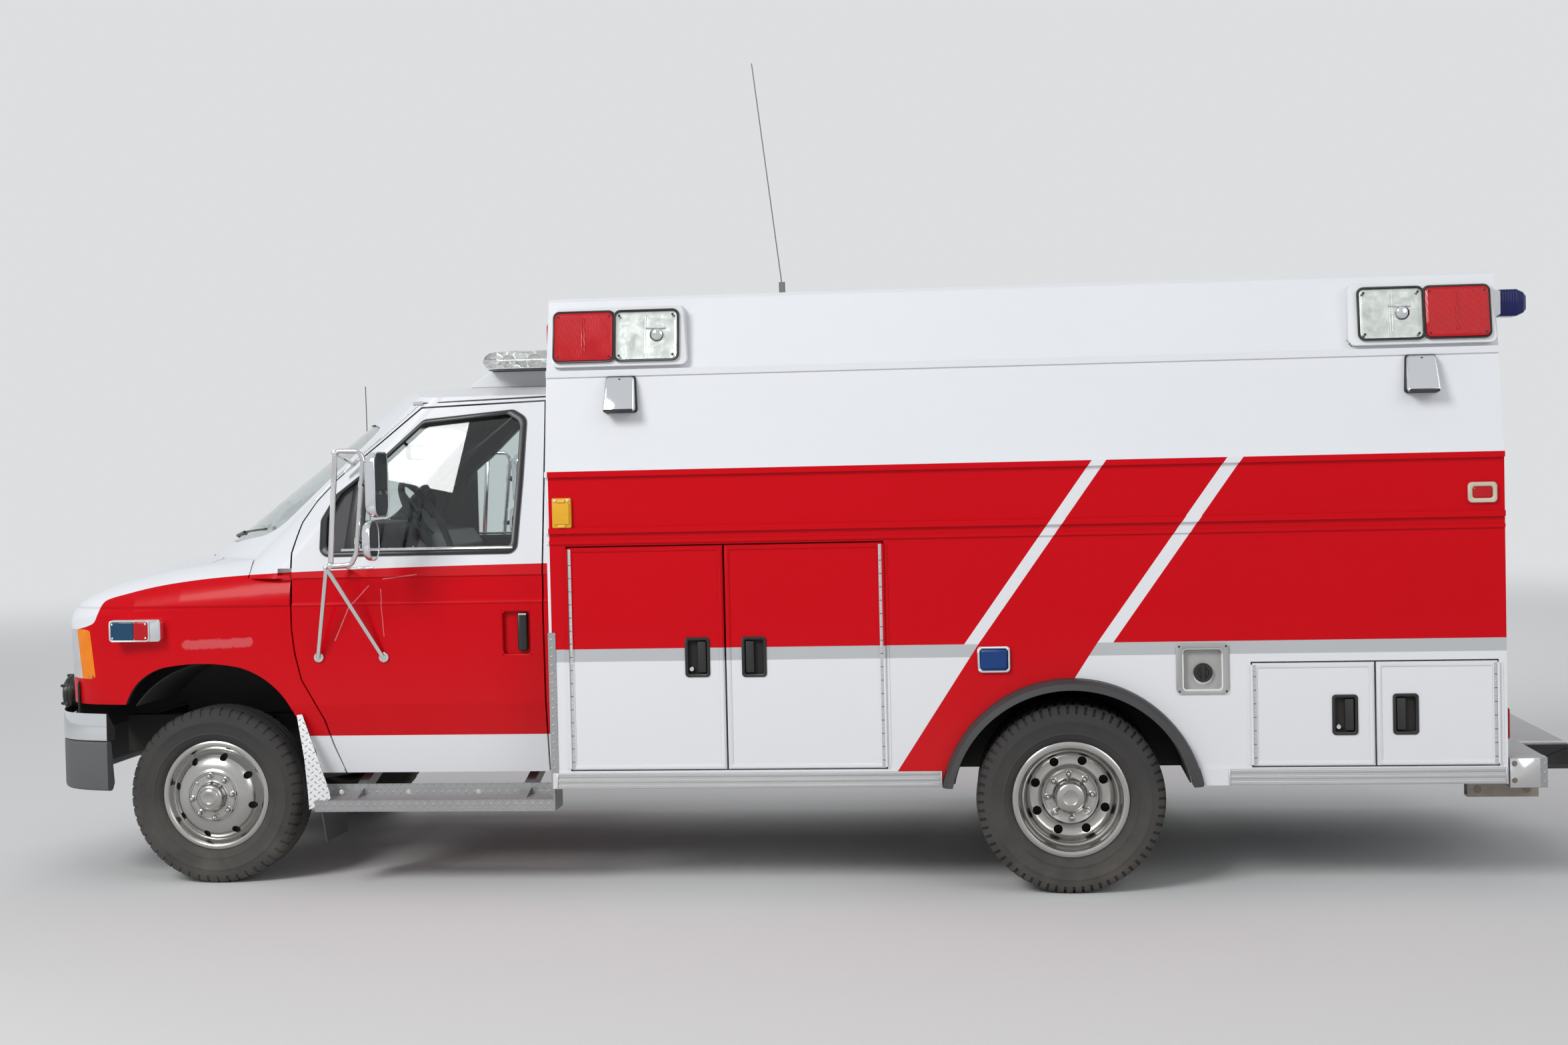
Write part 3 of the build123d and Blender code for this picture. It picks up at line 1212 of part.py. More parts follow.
for side, word, doors, lockers, handles in ((-1, "left", left_doors, left_lockers, left_handles),
                                            (1, "right", right_doors, right_lockers, right_handles)):
    wall, made = side_wall(side, doors, lockers, handles)
    if side < 0:
        x0, x1, z0, z1 = fuel_recess
        wall = wall - block(x0, x1, -1300, -1000, z0, z1) + fuel_filler()
    else:
        wall = wall + step_well()
    save(f"module_side_{word}", wall)
    for name, door in made:
        save(name, door)
shell, rear_doors = module_shell()
save("module_shell", shell)
save("rear_door_left", rear_doors[0])
save("rear_door_right", rear_doors[1])
inset = 0.3
for side, word in ((-1, "left"), (1, "right")):
    small = [(side * (y + (inset if y < 300 else -inset)), z + (inset if z < 1700 else -inset))
             for y, z in rear_window]
    save(f"rear_glass_{word}", front_prism(small, module_rear - 33, module_rear - 33 + glass_gauge, radius=40))
small = [(x + (inset if x < 2400 else -inset), z + (inset if z < 1480 else -inset)) for x, z in entry_window]
save("entry_glass", side_prism(small, module_half_width - 33, module_half_width - 33 + glass_gauge, radius=40))
save("wheel_flares", flare(-1), flare(1))
save("lamp_housings", *lamp_housings(), light_bar_base(), driving_lamp(-1), driving_lamp(1))
save("lamp_lenses", *lamp_lenses(), light_bar(), *lamps)
save("antennas", *antennas())
save("tread_plates", *running_board(-1), *running_board(1), corner_guard(-1), corner_guard(1))
save("rear_bumper", rear_bumper())
save("exhaust", exhaust())
save("fuel_tank", fuel_tank())
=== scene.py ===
# %% [markdown]
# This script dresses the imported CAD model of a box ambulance. The CAD model gives every size, seat and joint.
# Here each surface gets its finish, and what a photograph shows beyond the plain solids is modelled on top.

# %% Load the frame
import json
from functools import reduce
from math import atan2, cos, degrees, hypot, pi, radians, sin, sqrt, tan, tau

import bpy
from mathutils import Matrix, Vector


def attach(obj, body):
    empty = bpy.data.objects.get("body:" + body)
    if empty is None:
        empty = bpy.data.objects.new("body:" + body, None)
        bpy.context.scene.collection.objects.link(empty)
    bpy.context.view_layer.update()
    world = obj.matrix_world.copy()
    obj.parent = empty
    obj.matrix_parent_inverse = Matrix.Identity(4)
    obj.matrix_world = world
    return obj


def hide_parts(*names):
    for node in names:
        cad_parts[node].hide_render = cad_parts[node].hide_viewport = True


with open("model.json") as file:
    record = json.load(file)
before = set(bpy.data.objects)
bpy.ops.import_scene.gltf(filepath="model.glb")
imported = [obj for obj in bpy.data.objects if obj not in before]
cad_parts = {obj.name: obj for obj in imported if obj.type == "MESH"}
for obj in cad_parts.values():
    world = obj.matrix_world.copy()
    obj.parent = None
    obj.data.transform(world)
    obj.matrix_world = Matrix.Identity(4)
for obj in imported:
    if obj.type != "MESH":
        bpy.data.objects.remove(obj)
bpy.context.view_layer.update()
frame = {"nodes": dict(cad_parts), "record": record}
nodes = frame["nodes"]
print("nodes loaded:", len(nodes))

# %% [markdown]
# The model is in metres, with its origin under the middle of the vehicle. Places on a vehicle are easier to
# read in millimetres from the front axle, as on a workshop drawing, so one helper turns such a place into a
# point. Minus y is the driver's side and z is the height above the ground.

# %% Workshop units
mm = 0.001
front_axle = -2342.5


def at(x, y, z):
    """A point given in millimetres from the front axle, the centre line and the ground."""
    return Vector(((x + front_axle) * mm, y * mm, z * mm))


# %% [markdown]
# The camera stands where the photographer stood: about nine metres from the side, level with the windows, and
# turned a few degrees towards the cab. A camera looks down its own minus Z, so it is first tipped up by a
# right angle, and then heading, tilt and roll are small turns that can be read one by one.

# %% Camera
image_width = 2352
focal_pixels = 3187.3
heading = 0.108477
tilt = -0.027386
roll = -0.022482
eye = at(3312.7, -9423.5, 1681.9)
sensor = 36.0

camera_data = bpy.data.cameras.new("camera")
camera_data.sensor_width = sensor
camera_data.lens = focal_pixels * sensor / image_width
camera = bpy.data.objects.new("camera", camera_data)
aim = Matrix.Rotation(heading, 4, "Z") @ Matrix.Rotation(pi / 2 + tilt, 4, "X")
turn = aim @ Matrix.Rotation(roll, 4, "Z")
camera.matrix_world = Matrix.Translation(eye) @ turn
bpy.context.scene.collection.objects.link(camera)
bpy.context.scene.camera = camera
print("lens", round(camera_data.lens, 2), "mm")

# %% [markdown]
# Materials and light are written as node trees. A few small helpers keep them readable: one starts a
# material, one adds a node with its settings, some do arithmetic on numbers, vectors and colours, and two
# make and place node groups. A socket or a plain value can go in either way.

# %% Node helpers


def shader_of(material):
    """The Principled shader of a material."""
    return material.node_tree.nodes["Principled BSDF"]


def new_material(name, **values):
    """A material with one Principled shader, whose named sockets get plain values."""
    made = bpy.data.materials.new(name)
    made.use_nodes = True
    for socket, value in values.items():
        shader_of(made).inputs[socket.replace("_", " ")].default_value = value
    return made


def add(tree, kind, settings=None, **inputs):
    """Add a node, set its properties, and plug sockets or values into its inputs."""
    made = tree.nodes.new(kind)
    for key, value in (settings or {}).items():
        setattr(made, key, value)
    for key, value in inputs.items():
        target = made.inputs[int(key[1:])] if key[1:].isdigit() else made.inputs[key.replace("_", " ")]
        if isinstance(value, bpy.types.NodeSocket):
            tree.links.new(value, target)
        else:
            target.default_value = value
    return made


def calc(tree, operation, a, b=0.0, clamp=False):
    """One step of arithmetic on two sockets or numbers."""
    return add(tree, "ShaderNodeMath", {"operation": operation, "use_clamp": clamp}, _0=a, _1=b).outputs[0]


def vector(tree, operation, **inputs):
    """One step of arithmetic on vectors, with both of its results."""
    return add(tree, "ShaderNodeVectorMath", {"operation": operation}, **inputs).outputs


def blend_color(tree, share, a, b):
    """Colour a where the share is 0, colour b where it is 1."""
    return add(tree, "ShaderNodeMix", {"data_type": "RGBA"}, _0=share, _6=a, _7=b).outputs[2]


def position(tree):
    """The place of the surface, in the object's own coordinates."""
    return tree.nodes.new("ShaderNodeTexCoord").outputs["Object"]


def bare_group(name, inputs, outputs):
    """An empty node group with named sockets, given as (name, kind, value)."""
    group = bpy.data.node_groups.new(name, "ShaderNodeTree")
    kinds = {"color": "NodeSocketColor", "value": "NodeSocketFloat", "vector": "NodeSocketVector"}
    for label, kind, value in inputs:
        socket = group.interface.new_socket(label, in_out="INPUT", socket_type=kinds[kind])
        if value is not None:
            socket.default_value = value
    for label, kind in outputs:
        group.interface.new_socket(label, in_out="OUTPUT", socket_type=kinds[kind])
    return group, group.nodes.new("NodeGroupInput").outputs, group.nodes.new("NodeGroupOutput").inputs


def use_group(tree, group, **inputs):
    """Place a group in a material, with its own values."""
    return add(tree, "ShaderNodeGroup", {"node_tree": group}, **inputs)


# %% [markdown]
# A studio floor and soft light. One large lamp stands high at the front left, as the sun does in the
# photograph, a weaker one fills from the rear, and the pale world lights the rest. Far away the floor fades
# into the backdrop, so no horizon shows. The colours keep their written values, so the view transform is the
# plain one.

# %% Stage and light
bpy.context.scene.view_settings.view_transform = "Standard"
floor_size = 400.0
floor_color = (0.74, 0.74, 0.73, 1)
fade_start, fade_end = 4.5, 26.0
backdrop_color = (0.72, 0.735, 0.75, 1)
soft_color, soft_strength = (0.86, 0.9, 0.96, 1), 0.42


def lamp(name, place, target, size, power):
    """A square area lamp that faces a point."""
    data = bpy.data.lights.new(name, "AREA")
    data.size = size
    data.energy = power
    made = bpy.data.objects.new(name, data)
    made.location = place
    made.rotation_euler = (Vector(target) - Vector(place)).to_track_quat("-Z", "Y").to_euler()
    bpy.context.scene.collection.objects.link(made)


lamp("key", (-6.5, -11.0, 9.5), (0.0, 0.0, 1.0), 5.0, 1150)
lamp("fill", (8.0, -9.0, 6.0), (0.0, 0.0, 1.2), 6.0, 220)
lamp("back", (0.0, 12.0, 8.0), (0.0, 0.0, 1.5), 7.0, 500)

world = bpy.data.worlds.new("studio")
bpy.context.scene.world = world
world.use_nodes = True
tree = world.node_tree
tree.nodes.clear()
backdrop = add(tree, "ShaderNodeBackground", Color=backdrop_color, Strength=1.0).outputs[0]
soft_light = add(tree, "ShaderNodeBackground", Color=soft_color, Strength=soft_strength).outputs[0]
ray = add(tree, "ShaderNodeLightPath").outputs
bounced = calc(tree, "MAXIMUM", ray["Is Glossy Ray"], ray["Is Transmission Ray"])
seen = calc(tree, "MAXIMUM", ray["Is Camera Ray"], bounced)
chosen = add(tree, "ShaderNodeMixShader", _0=seen, _1=soft_light, _2=backdrop).outputs[0]
add(tree, "ShaderNodeOutputWorld", Surface=chosen)

bpy.ops.mesh.primitive_plane_add(size=floor_size, location=(0, 0, 0))
floor = bpy.context.object
floor.name = "floor"
floor_paint = new_material("floor", Base_Color=floor_color, Roughness=0.9)
floor.data.materials.append(floor_paint)
tree = floor_paint.node_tree
distance = vector(tree, "LENGTH", _0=position(tree))["Value"]
fade = add(tree, "ShaderNodeMapRange", {"interpolation_type": "SMOOTHERSTEP"}, Value=distance,
           From_Min=fade_start, From_Max=fade_end).outputs[0]
horizon = add(tree, "ShaderNodeEmission", Color=backdrop_color).outputs[0]
is_diffuse = add(tree, "ShaderNodeLightPath").outputs["Is Diffuse Ray"]
share = calc(tree, "MULTIPLY", fade, calc(tree, "SUBTRACT", 1.0, is_diffuse))
blend = add(tree, "ShaderNodeMixShader", _0=share, _1=shader_of(floor_paint).outputs[0],
            _2=horizon).outputs[0]
tree.links.new(blend, tree.nodes["Material Output"].inputs["Surface"])
print("lamps and floor ready")

# %% [markdown]
# Wear is the same effect on many surfaces: large faint blotches, fine grain, and road dust that settles more
# on the lower parts of a vehicle. It is built once as a group. Each material gives it a colour, a scale and
# amounts, and gets back a colour, a roughness and a height for its bump.

# %% The wear group
wear_depth = 0.0005
wear, took, gave = bare_group("wear", [("Color", "color", (0.5, 0.5, 0.5, 1)),
                                       ("Dust Color", "color", (0.36, 0.32, 0.27, 1)),
                                       ("Roughness", "value", 0.5), ("Blotch Scale", "value", 3.0),
                                       ("Blotches", "value", 0.1), ("Grain Scale", "value", 300.0),
                                       ("Grain", "value", 0.1), ("Dust", "value", 0.2),
                                       ("Dust Height", "value", 1.2)],
                              [("Color", "color"), ("Roughness", "value"), ("Height", "value")])
where = position(wear)
blotch = add(wear, "ShaderNodeTexNoise", Vector=where, Scale=took["Blotch Scale"], Detail=5.0, Roughness=0.6)
blotch = blotch.outputs["Fac"]
grain = add(wear, "ShaderNodeTexNoise", Vector=where, Scale=took["Grain Scale"], Detail=3.0).outputs["Fac"]
height = add(wear, "ShaderNodeSeparateXYZ", Vector=where).outputs["Z"]
low = calc(wear, "SUBTRACT", 1.0, calc(wear, "DIVIDE", height, took["Dust Height"]), clamp=True)
cloud = add(wear, "ShaderNodeMath", {"operation": "MULTIPLY_ADD", "use_clamp": True}, _0=blotch, _1=1.6,
            _2=-0.3)
dusty = calc(wear, "MULTIPLY", calc(wear, "POWER", low, 1.6), cloud.outputs[0])
dusty = calc(wear, "MULTIPLY", dusty, took["Dust"], clamp=True)
shade = calc(wear, "MULTIPLY", calc(wear, "SUBTRACT", blotch, 0.5), took["Blotches"])
speck = calc(wear, "MULTIPLY", calc(wear, "SUBTRACT", grain, 0.5), took["Grain"])
level = calc(wear, "ADD", 1.0, calc(wear, "ADD", shade, speck))
toned = vector(wear, "SCALE", _0=took["Color"], Scale=level)[0]
wear.links.new(blend_color(wear, dusty, toned, took["Dust Color"]), gave["Color"])
dulled = calc(wear, "ADD", shade, calc(wear, "MULTIPLY", dusty, 0.4))
wear.links.new(calc(wear, "ADD", took["Roughness"], dulled, clamp=True), gave["Roughness"])
wear.links.new(grain, gave["Height"])
print("wear group nodes:", len(wear.nodes))


def wear_into(material, **amounts):
    """Send a colour and a roughness through the wear group into a material, and give back its height."""
    tree = material.node_tree
    group = use_group(tree, wear, **amounts)
    tree.links.new(group.outputs["Color"], shader_of(material).inputs["Base Color"])
    tree.links.new(group.outputs["Roughness"], shader_of(material).inputs["Roughness"])
    return group.outputs["Height"]


def bump_into(material, height, strength, depth, **below):
    """Raise a material's surface by a height, over another bump if one is given."""
    tree = material.node_tree
    bumped = add(tree, "ShaderNodeBump", Strength=strength, Distance=depth, Height=height, **below)
    tree.links.new(bumped.outputs[0], shader_of(material).inputs["Normal"])
    return bumped.outputs[0]


def worn(name, color, roughness, bump=0.1, shader_values=None, **amounts):
    """A material with a plain colour that goes through the wear group."""
    made = new_material(name, **(shader_values or {}))
    height = wear_into(made, Color=(*color, 1), Roughness=roughness, **amounts)
    bump_into(made, height, bump, wear_depth)
    return made


# %% [markdown]
# Most of the other finishes are one colour with wear: rubber, moulded plastic, iron, chrome and glass.
# Written side by side, they show at a glance how rough and how dusty each one is.

# %% Plain finishes
chrome = worn("chrome", (0.74, 0.75, 0.77), 0.07, bump=0.02, Blotches=0.08, Grain=0.0, Dust=0.12,
              Dust_Height=0.9, shader_values={"Metallic": 1.0})
bright_steel = worn("polished steel", (0.66, 0.66, 0.66), 0.16, bump=0.03, Blotches=0.12, Blotch_Scale=9.0,
                    Dust=0.25, Dust_Height=0.8, shader_values={"Metallic": 1.0})
wheel_steel = worn("wheel steel", (0.46, 0.455, 0.44), 0.2, bump=0.03, Blotches=0.2, Blotch_Scale=9.0,
                   Dust=0.3, Dust_Height=0.8, shader_values={"Metallic": 1.0})
rubber = worn("tyre rubber", (0.022, 0.022, 0.023), 0.78, bump=0.25, Blotches=0.7, Blotch_Scale=6.0,
              Grain=0.3, Dust=0.35, Dust_Height=1.0)
flare_rubber = worn("flare rubber", (0.035, 0.036, 0.038), 0.5, bump=0.12, Blotches=0.25, Dust=0.12)
grey_moulding = worn("grey moulding", (0.1, 0.104, 0.108), 0.62, bump=0.35, Blotches=0.2, Grain=0.25,
                     Dust=0.1)
black_plastic = worn("black plastic", (0.014, 0.014, 0.015), 0.35, bump=0.08, Blotches=0.2, Dust=0.05)
liner_plastic = worn("liner", (0.012, 0.012, 0.012), 0.8, bump=0.4, Blotches=0.5, Dust=0.3)
dash_plastic = worn("dash plastic", (0.05, 0.05, 0.055), 0.6, bump=0.3, Grain=0.2, Dust=0.0)
frame_paint = worn("frame paint", (0.012, 0.012, 0.013), 0.6, bump=0.2, Blotches=0.6, Dust=0.5,
                   Dust_Height=0.9)
cast_iron = worn("cast iron", (0.045, 0.042, 0.04), 0.7, bump=0.5, Blotches=0.6, Dust=0.5)
exhaust_steel = worn("exhaust steel", (0.22, 0.18, 0.15), 0.5, bump=0.2, Blotches=0.8, Dust=0.2,
                     shader_values={"Metallic": 0.8})
seat_cloth = worn("seat cloth", (0.13, 0.13, 0.14), 0.9, bump=0.5, Grain=0.5, Grain_Scale=900.0, Dust=0.0)
white_plastic = worn("white housing", (0.8, 0.81, 0.82), 0.3, bump=0.05, Blotches=0.05, Dust=0.05)
red_plastic = worn("red plastic", (0.5, 0.005, 0.01), 0.15, bump=0.1, Dust=0.0)
antenna_steel = worn("antenna steel", (0.2, 0.2, 0.2), 0.35, bump=0.05, Dust=0.0,
                     shader_values={"Metallic": 0.8})

glass = new_material("window glass", Base_Color=(0.82, 0.87, 0.86, 1), Roughness=0.0, IOR=1.45,
                     Transmission_Weight=1.0)
tread_plate = worn("tread plate", (0.36, 0.365, 0.37), 0.45, bump=0.2, Blotches=0.3, Dust=0.3,
                   Dust_Height=1.0, shader_values={"Metallic": 0.75})
print("materials:", len(bpy.data.materials))

# %% [markdown]
# Masks pick out parts of the paint by place: a value between two limits, any or all of several masks, and the
# surfaces that face a point inside a shell, which are its lining.

# %% Masks
# How far a surface must look towards the point, as a distance in millimetres
facing_reach = 40.0


def between(tree, value, low, high):
    """1 where the value is between two limits."""
    return all_of(tree, calc(tree, "GREATER_THAN", value, low), calc(tree, "LESS_THAN", value, high))


def all_of(tree, *masks):
    """1 where all of several masks are 1."""
    return reduce(lambda total, mask: calc(tree, "MULTIPLY", total, mask), masks)


def any_of(tree, *masks):
    """The highest of several masks."""
    return reduce(lambda total, mask: calc(tree, "MAXIMUM", total, mask), masks)


def without(tree, mask):
    """1 where a mask is 0."""
    return calc(tree, "SUBTRACT", 1.0, mask)


def facing(tree, place, middle):
    """1 on surfaces that face a point, such as the inside of a shell."""
    toward = vector(tree, "SUBTRACT", _0=middle, _1=place)[0]
    normal = tree.nodes.new("ShaderNodeTexCoord").outputs["Normal"]
    return calc(tree, "GREATER_THAN", vector(tree, "DOT_PRODUCT", _0=toward, _1=normal)["Value"],
                facing_reach)


# %% [markdown]
# Pale scuffs from use are drawn by a group that measures the distance to a line between two points. A little
# noise makes their edges ragged.

# %% The scuff group
streak, took, gave = bare_group(
    "streak",
    [("Place", "vector", None), ("Start", "vector", None), ("End", "vector", None), ("Width", "value", 4.0)],
    [("Mask", "value")])
reach = vector(streak, "SUBTRACT", _0=took["End"], _1=took["Start"])[0]
from_start = vector(streak, "SUBTRACT", _0=took["Place"], _1=took["Start"])[0]
dots = [vector(streak, "DOT_PRODUCT", _0=reach, _1=other)["Value"] for other in (from_start, reach)]
nearest = vector(streak, "SCALE", _0=reach, Scale=calc(streak, "DIVIDE", *dots, clamp=True))[0]
apart = vector(streak, "DISTANCE", _0=from_start, _1=nearest)["Value"]
ragged = add(streak, "ShaderNodeTexNoise", Vector=took["Place"], Scale=0.035, Detail=4.0).outputs["Fac"]
apart = calc(streak, "ADD", calc(streak, "DIVIDE", apart, took["Width"]),
             calc(streak, "SUBTRACT", ragged, 0.5))
streak.links.new(add(streak, "ShaderNodeMapRange", Value=apart, From_Min=1.0, From_Max=0.7).outputs[0],
                 gave["Mask"])
print("scuff group nodes:", len(streak.nodes))

# %% [markdown]
# The body is white enamel with a red band between the two side rails and the waist, a silver line under it,
# and two slanting white stripes. On the cab the red starts under a line that climbs along the hood. All of it
# is worked out from the place of the surface, so the bands run on across doors and gaps as real paint does.
# The inside of the box stays white, and the lining of the cab and the nose is grey.

# %% Body paint
white = (0.79, 0.8, 0.82, 1)
red = (0.6, 0.0012, 0.007, 1)
silver = (0.5, 0.52, 0.53, 1)
trim_grey = (0.045, 0.047, 0.05, 1)
scuff_pink = (0.85, 0.5, 0.52, 1)
# The cab's paint line, columns: place behind the front axle, height, in millimetres
cab_line = [(-690, 1042), (-520, 1080), (-459, 1177), (-371, 1203), (-112, 1251), (201, 1277), (539, 1290),
            (1466, 1304)]
band_top, band_low, silver_low = 1672, 968, 918
stripe_slope, lower_slope = 0.7145, 0.655
# The two slanting stripes, columns: front edge and rear edge at the band's low edge
stripes = [(3106, 3161), (3618, 3678)]
cab_end, box_start = 1467, 1479
cab_middle, nose_middle, box_middle = (900, 0, 1450), (-60, 0, 700), (3300, 0, 1450)
lining_reach, lining_front, lining_low, box_reach = 990, 330, 1180, 1118
cab_white_below, crease_z, crease_half = 610, 1148, 7
# Scuffs on the driver's side, columns: start, end, half width, strength
scuffs = [((-95, 992), (172, 1000), 22, 0.16), ((745, 1251), (885, 1267), 2.4, 0.35),
          ((683, 1224), (602, 1139), 2.4, 0.35), ((602, 1139), (540, 1003), 2.4, 0.4),
          ((733, 1209), (746, 1019), 2, 0.3)]


def box_masks(tree, place, x, y, z):
    """Where the box is red, and where it is silver."""
    above = calc(tree, "SUBTRACT", z, band_low)
    skewed = calc(tree, "SUBTRACT", x, calc(tree, "MULTIPLY", above, stripe_slope))
    lower = calc(tree, "SUBTRACT", x, calc(tree, "MULTIPLY", above, lower_slope))
    stripe = any_of(tree, *[between(tree, skewed, a, b) for a, b in stripes])
    sweep = all_of(tree, between(tree, lower, stripes[0][1], stripes[1][0]),
                   calc(tree, "LESS_THAN", z, band_low))
    band = all_of(tree, between(tree, z, band_low, band_top), without(tree, stripe))
    inside = all_of(tree, facing(tree, place, box_middle),
                    calc(tree, "LESS_THAN", calc(tree, "ABSOLUTE", y), box_reach))
    outside = all_of(tree, calc(tree, "GREATER_THAN", x, box_start), without(tree, inside))
    in_silver = all_of(tree, between(tree, z, silver_low, band_low), without(tree, sweep), outside)
    return all_of(tree, any_of(tree, band, sweep), outside), in_silver


def cab_mask(tree, x, z):
    """Where the cab is red: under its paint line, which a curve follows from point to point."""
    (start, low_z), (end, high_z) = cab_line[0], cab_line[-1]
    run = add(tree, "ShaderNodeMapRange", Value=x, From_Min=start, From_Max=end).outputs[0]
    curve = add(tree, "ShaderNodeFloatCurve", Value=run)
    points = curve.mapping.curves[0].points
    while len(points) < len(cab_line):
        points.new(0.5, 0.5)
    for point, (px, pz) in zip(points, cab_line):
        point.location = ((px - start) / (end - start), (pz - low_z) / (high_z - low_z))
    curve.mapping.update()
    line = add(tree, "ShaderNodeMapRange", Value=curve.outputs[0], To_Min=low_z, To_Max=high_z).outputs[0]
    return all_of(tree, calc(tree, "LESS_THAN", z, line), calc(tree, "GREATER_THAN", z, cab_white_below),
                  calc(tree, "LESS_THAN", x, cab_end))


def scuffed(tree, color, x, y, z):
    """A colour with the scuffs of the driver's side drawn over it."""
    flat = add(tree, "ShaderNodeCombineXYZ", X=x, Y=0.0, Z=z).outputs[0]
    on_left = all_of(tree, calc(tree, "LESS_THAN", y, -900.0), calc(tree, "LESS_THAN", x, cab_end))
    for (x0, z0), (x1, z1), width, strength in scuffs:
        mark = use_group(tree, streak, Place=flat, Start=(x0, 0, z0), End=(x1, 0, z1), Width=width)
        color = blend_color(tree, all_of(tree, mark.outputs["Mask"], on_left, strength), color, scuff_pink)
    return color


def lining_mask(tree, place, x, y, z):
    """Where the paint gives way to trim: inside the cab and under the nose."""
    lining = all_of(tree, facing(tree, place, cab_middle),
                    calc(tree, "LESS_THAN", calc(tree, "ABSOLUTE", y), lining_reach),
                    between(tree, x, lining_front, cab_end), calc(tree, "GREATER_THAN", z, lining_low))
    under = all_of(tree, facing(tree, place, nose_middle), calc(tree, "LESS_THAN", x, lining_front))
    return any_of(tree, lining, under)


def body_paint():
    """White, red and silver enamel, laid out by place, with the crease pressed into the cab's side."""
    made = new_material("body paint", Coat_Weight=0.05, Coat_Roughness=0.03, Roughness=0.3,
                        Specular_IOR_Level=0.1)
    tree = made.node_tree
    place = add(tree, "ShaderNodeMapping", Vector=position(tree), Location=(-front_axle, 0, 0),
                Scale=(1000, 1000, 1000)).outputs[0]
    x, y, z = add(tree, "ShaderNodeSeparateXYZ", Vector=place).outputs
    box_red, in_silver = box_masks(tree, place, x, y, z)
    color = blend_color(tree, any_of(tree, box_red, cab_mask(tree, x, z)), white, red)
    color = scuffed(tree, blend_color(tree, in_silver, color, silver), x, y, z)
    color = blend_color(tree, lining_mask(tree, place, x, y, z), color, trim_grey)
    height = wear_into(made, Color=color, Roughness=0.28, Blotches=0.05, Blotch_Scale=1.3, Grain=0.0,
                       Dust=0.16, Dust_Height=1.1, Grain_Scale=160.0)
    fine = bump_into(made, height, 0.04, 0.0004)
    fold = add(tree, "ShaderNodeMapRange", {"interpolation_type": "SMOOTHSTEP"}, Value=z,
               From_Min=crease_z - crease_half, From_Max=crease_z + crease_half).outputs[0]
    bump_into(made, all_of(tree, fold, calc(tree, "LESS_THAN", x, cab_end)), 1.0, 0.007, Normal=fine)
    return made


paint = body_paint()

# %% [markdown]
# Every node that stays gets its finish by its record slot, so a node that is added later is dressed as well.

# %% Dress the nodes
finishes = {
    "body_paint": paint, "window_glass": glass, "chrome": chrome, "wheel_chrome": wheel_steel,
    "tyre_rubber": rubber, "flare_rubber": flare_rubber, "grey_moulding": grey_moulding,
    "liner_plastic": liner_plastic, "dash_plastic": dash_plastic, "seat_vinyl": seat_cloth,
    "frame_paint": frame_paint, "engine_iron": cast_iron, "axle_iron": cast_iron, "spring_steel": frame_paint,
    "exhaust_steel": exhaust_steel, "tank_steel": frame_paint, "tread_plate": tread_plate,
    "mirror_steel": bright_steel, "antenna_steel": antenna_steel, "lamp_white": white_plastic,
    "lens_plastic": red_plastic,
}
for row in frame["record"]["subparts"]:
    mesh = nodes[row["node"]].data
    mesh.materials.clear()
    mesh.materials.append(finishes[row["material_slot"]])

# %% [markdown]
# New pieces are shaped in edit mode, as by hand. These helpers hold the steps that come back all the time:
# leave edit mode with nothing selected, select faces by their place, put a finished piece's place into its
# mesh, and hang it on the body it moves with.

# %% Modelling helpers


def clear_selection():
    """Object mode, with nothing selected."""
    if bpy.context.object is not None and bpy.context.object.mode != "OBJECT":
        bpy.ops.object.mode_set(mode="OBJECT")
    bpy.ops.object.select_all(action="DESELECT")


def activate(piece):
    """Make one piece the only selected and the active one."""
    clear_selection()
    piece.select_set(True)
    bpy.context.view_layer.objects.active = piece


def pick_faces(piece, test):
    """Enter edit mode with the faces selected whose centre and normal pass the test, and count them."""
    activate(piece)
    bpy.ops.object.mode_set(mode="EDIT")
    bpy.ops.mesh.select_mode(type="FACE")
    bpy.ops.mesh.select_all(action="DESELECT")
    bpy.ops.object.mode_set(mode="OBJECT")
    count = 0
    for face in piece.data.polygons:
        face.select = bool(test(face.center, face.normal))
        count += face.select
    bpy.ops.object.mode_set(mode="EDIT")
    return count


def settle(name):
    """Leave edit mode and put the active piece's place into its mesh."""
    bpy.ops.object.mode_set(mode="OBJECT")
    piece = bpy.context.object
    piece.name = piece.data.name = name
    bpy.ops.object.transform_apply(location=True, rotation=True, scale=True)
    return piece


def apply_modifier(piece, kind, **settings):
    """Add a modifier with its settings and apply it."""
    activate(piece)
    bpy.ops.object.modifier_add(type=kind)
    made = piece.modifiers[-1]
    for key, value in settings.items():
        setattr(made, key, value)
    bpy.ops.object.modifier_apply(modifier=made.name)


def smooth(piece, angle):
    """Smooth shading, with sharp edges kept where faces meet at more than the angle."""
    activate(piece)
    bpy.ops.object.shade_smooth_by_angle(angle=radians(angle))
    return piece


def join(name, *parts):
    """Several pieces as one mesh, with their materials kept."""
    activate(parts[0])
    for part in parts[1:]:
        part.select_set(True)
    if len(parts) > 1:
        bpy.ops.object.join()
    parts[0].name = parts[0].data.name = name
    return parts[0]


def hang(piece, body, slot, *replaced):
    """Hang a piece on a body, and name the CAD nodes whose looks it takes over. The slot is not used."""
    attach(piece, body)
    if replaced:
        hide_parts(*replaced)
    return piece


def twin(piece, name):
    """A copy with its own mesh."""
    copy = piece.copy()
    copy.data = piece.data.copy()
    copy.name = copy.data.name = name
    bpy.context.scene.collection.objects.link(copy)
    return copy


def flip(piece):
    """Turn a piece into its mirror image across the centre line."""
    piece.data.transform(Matrix.Scale(-1, 4, (0, 1, 0)))
    piece.data.flip_normals()
    return piece


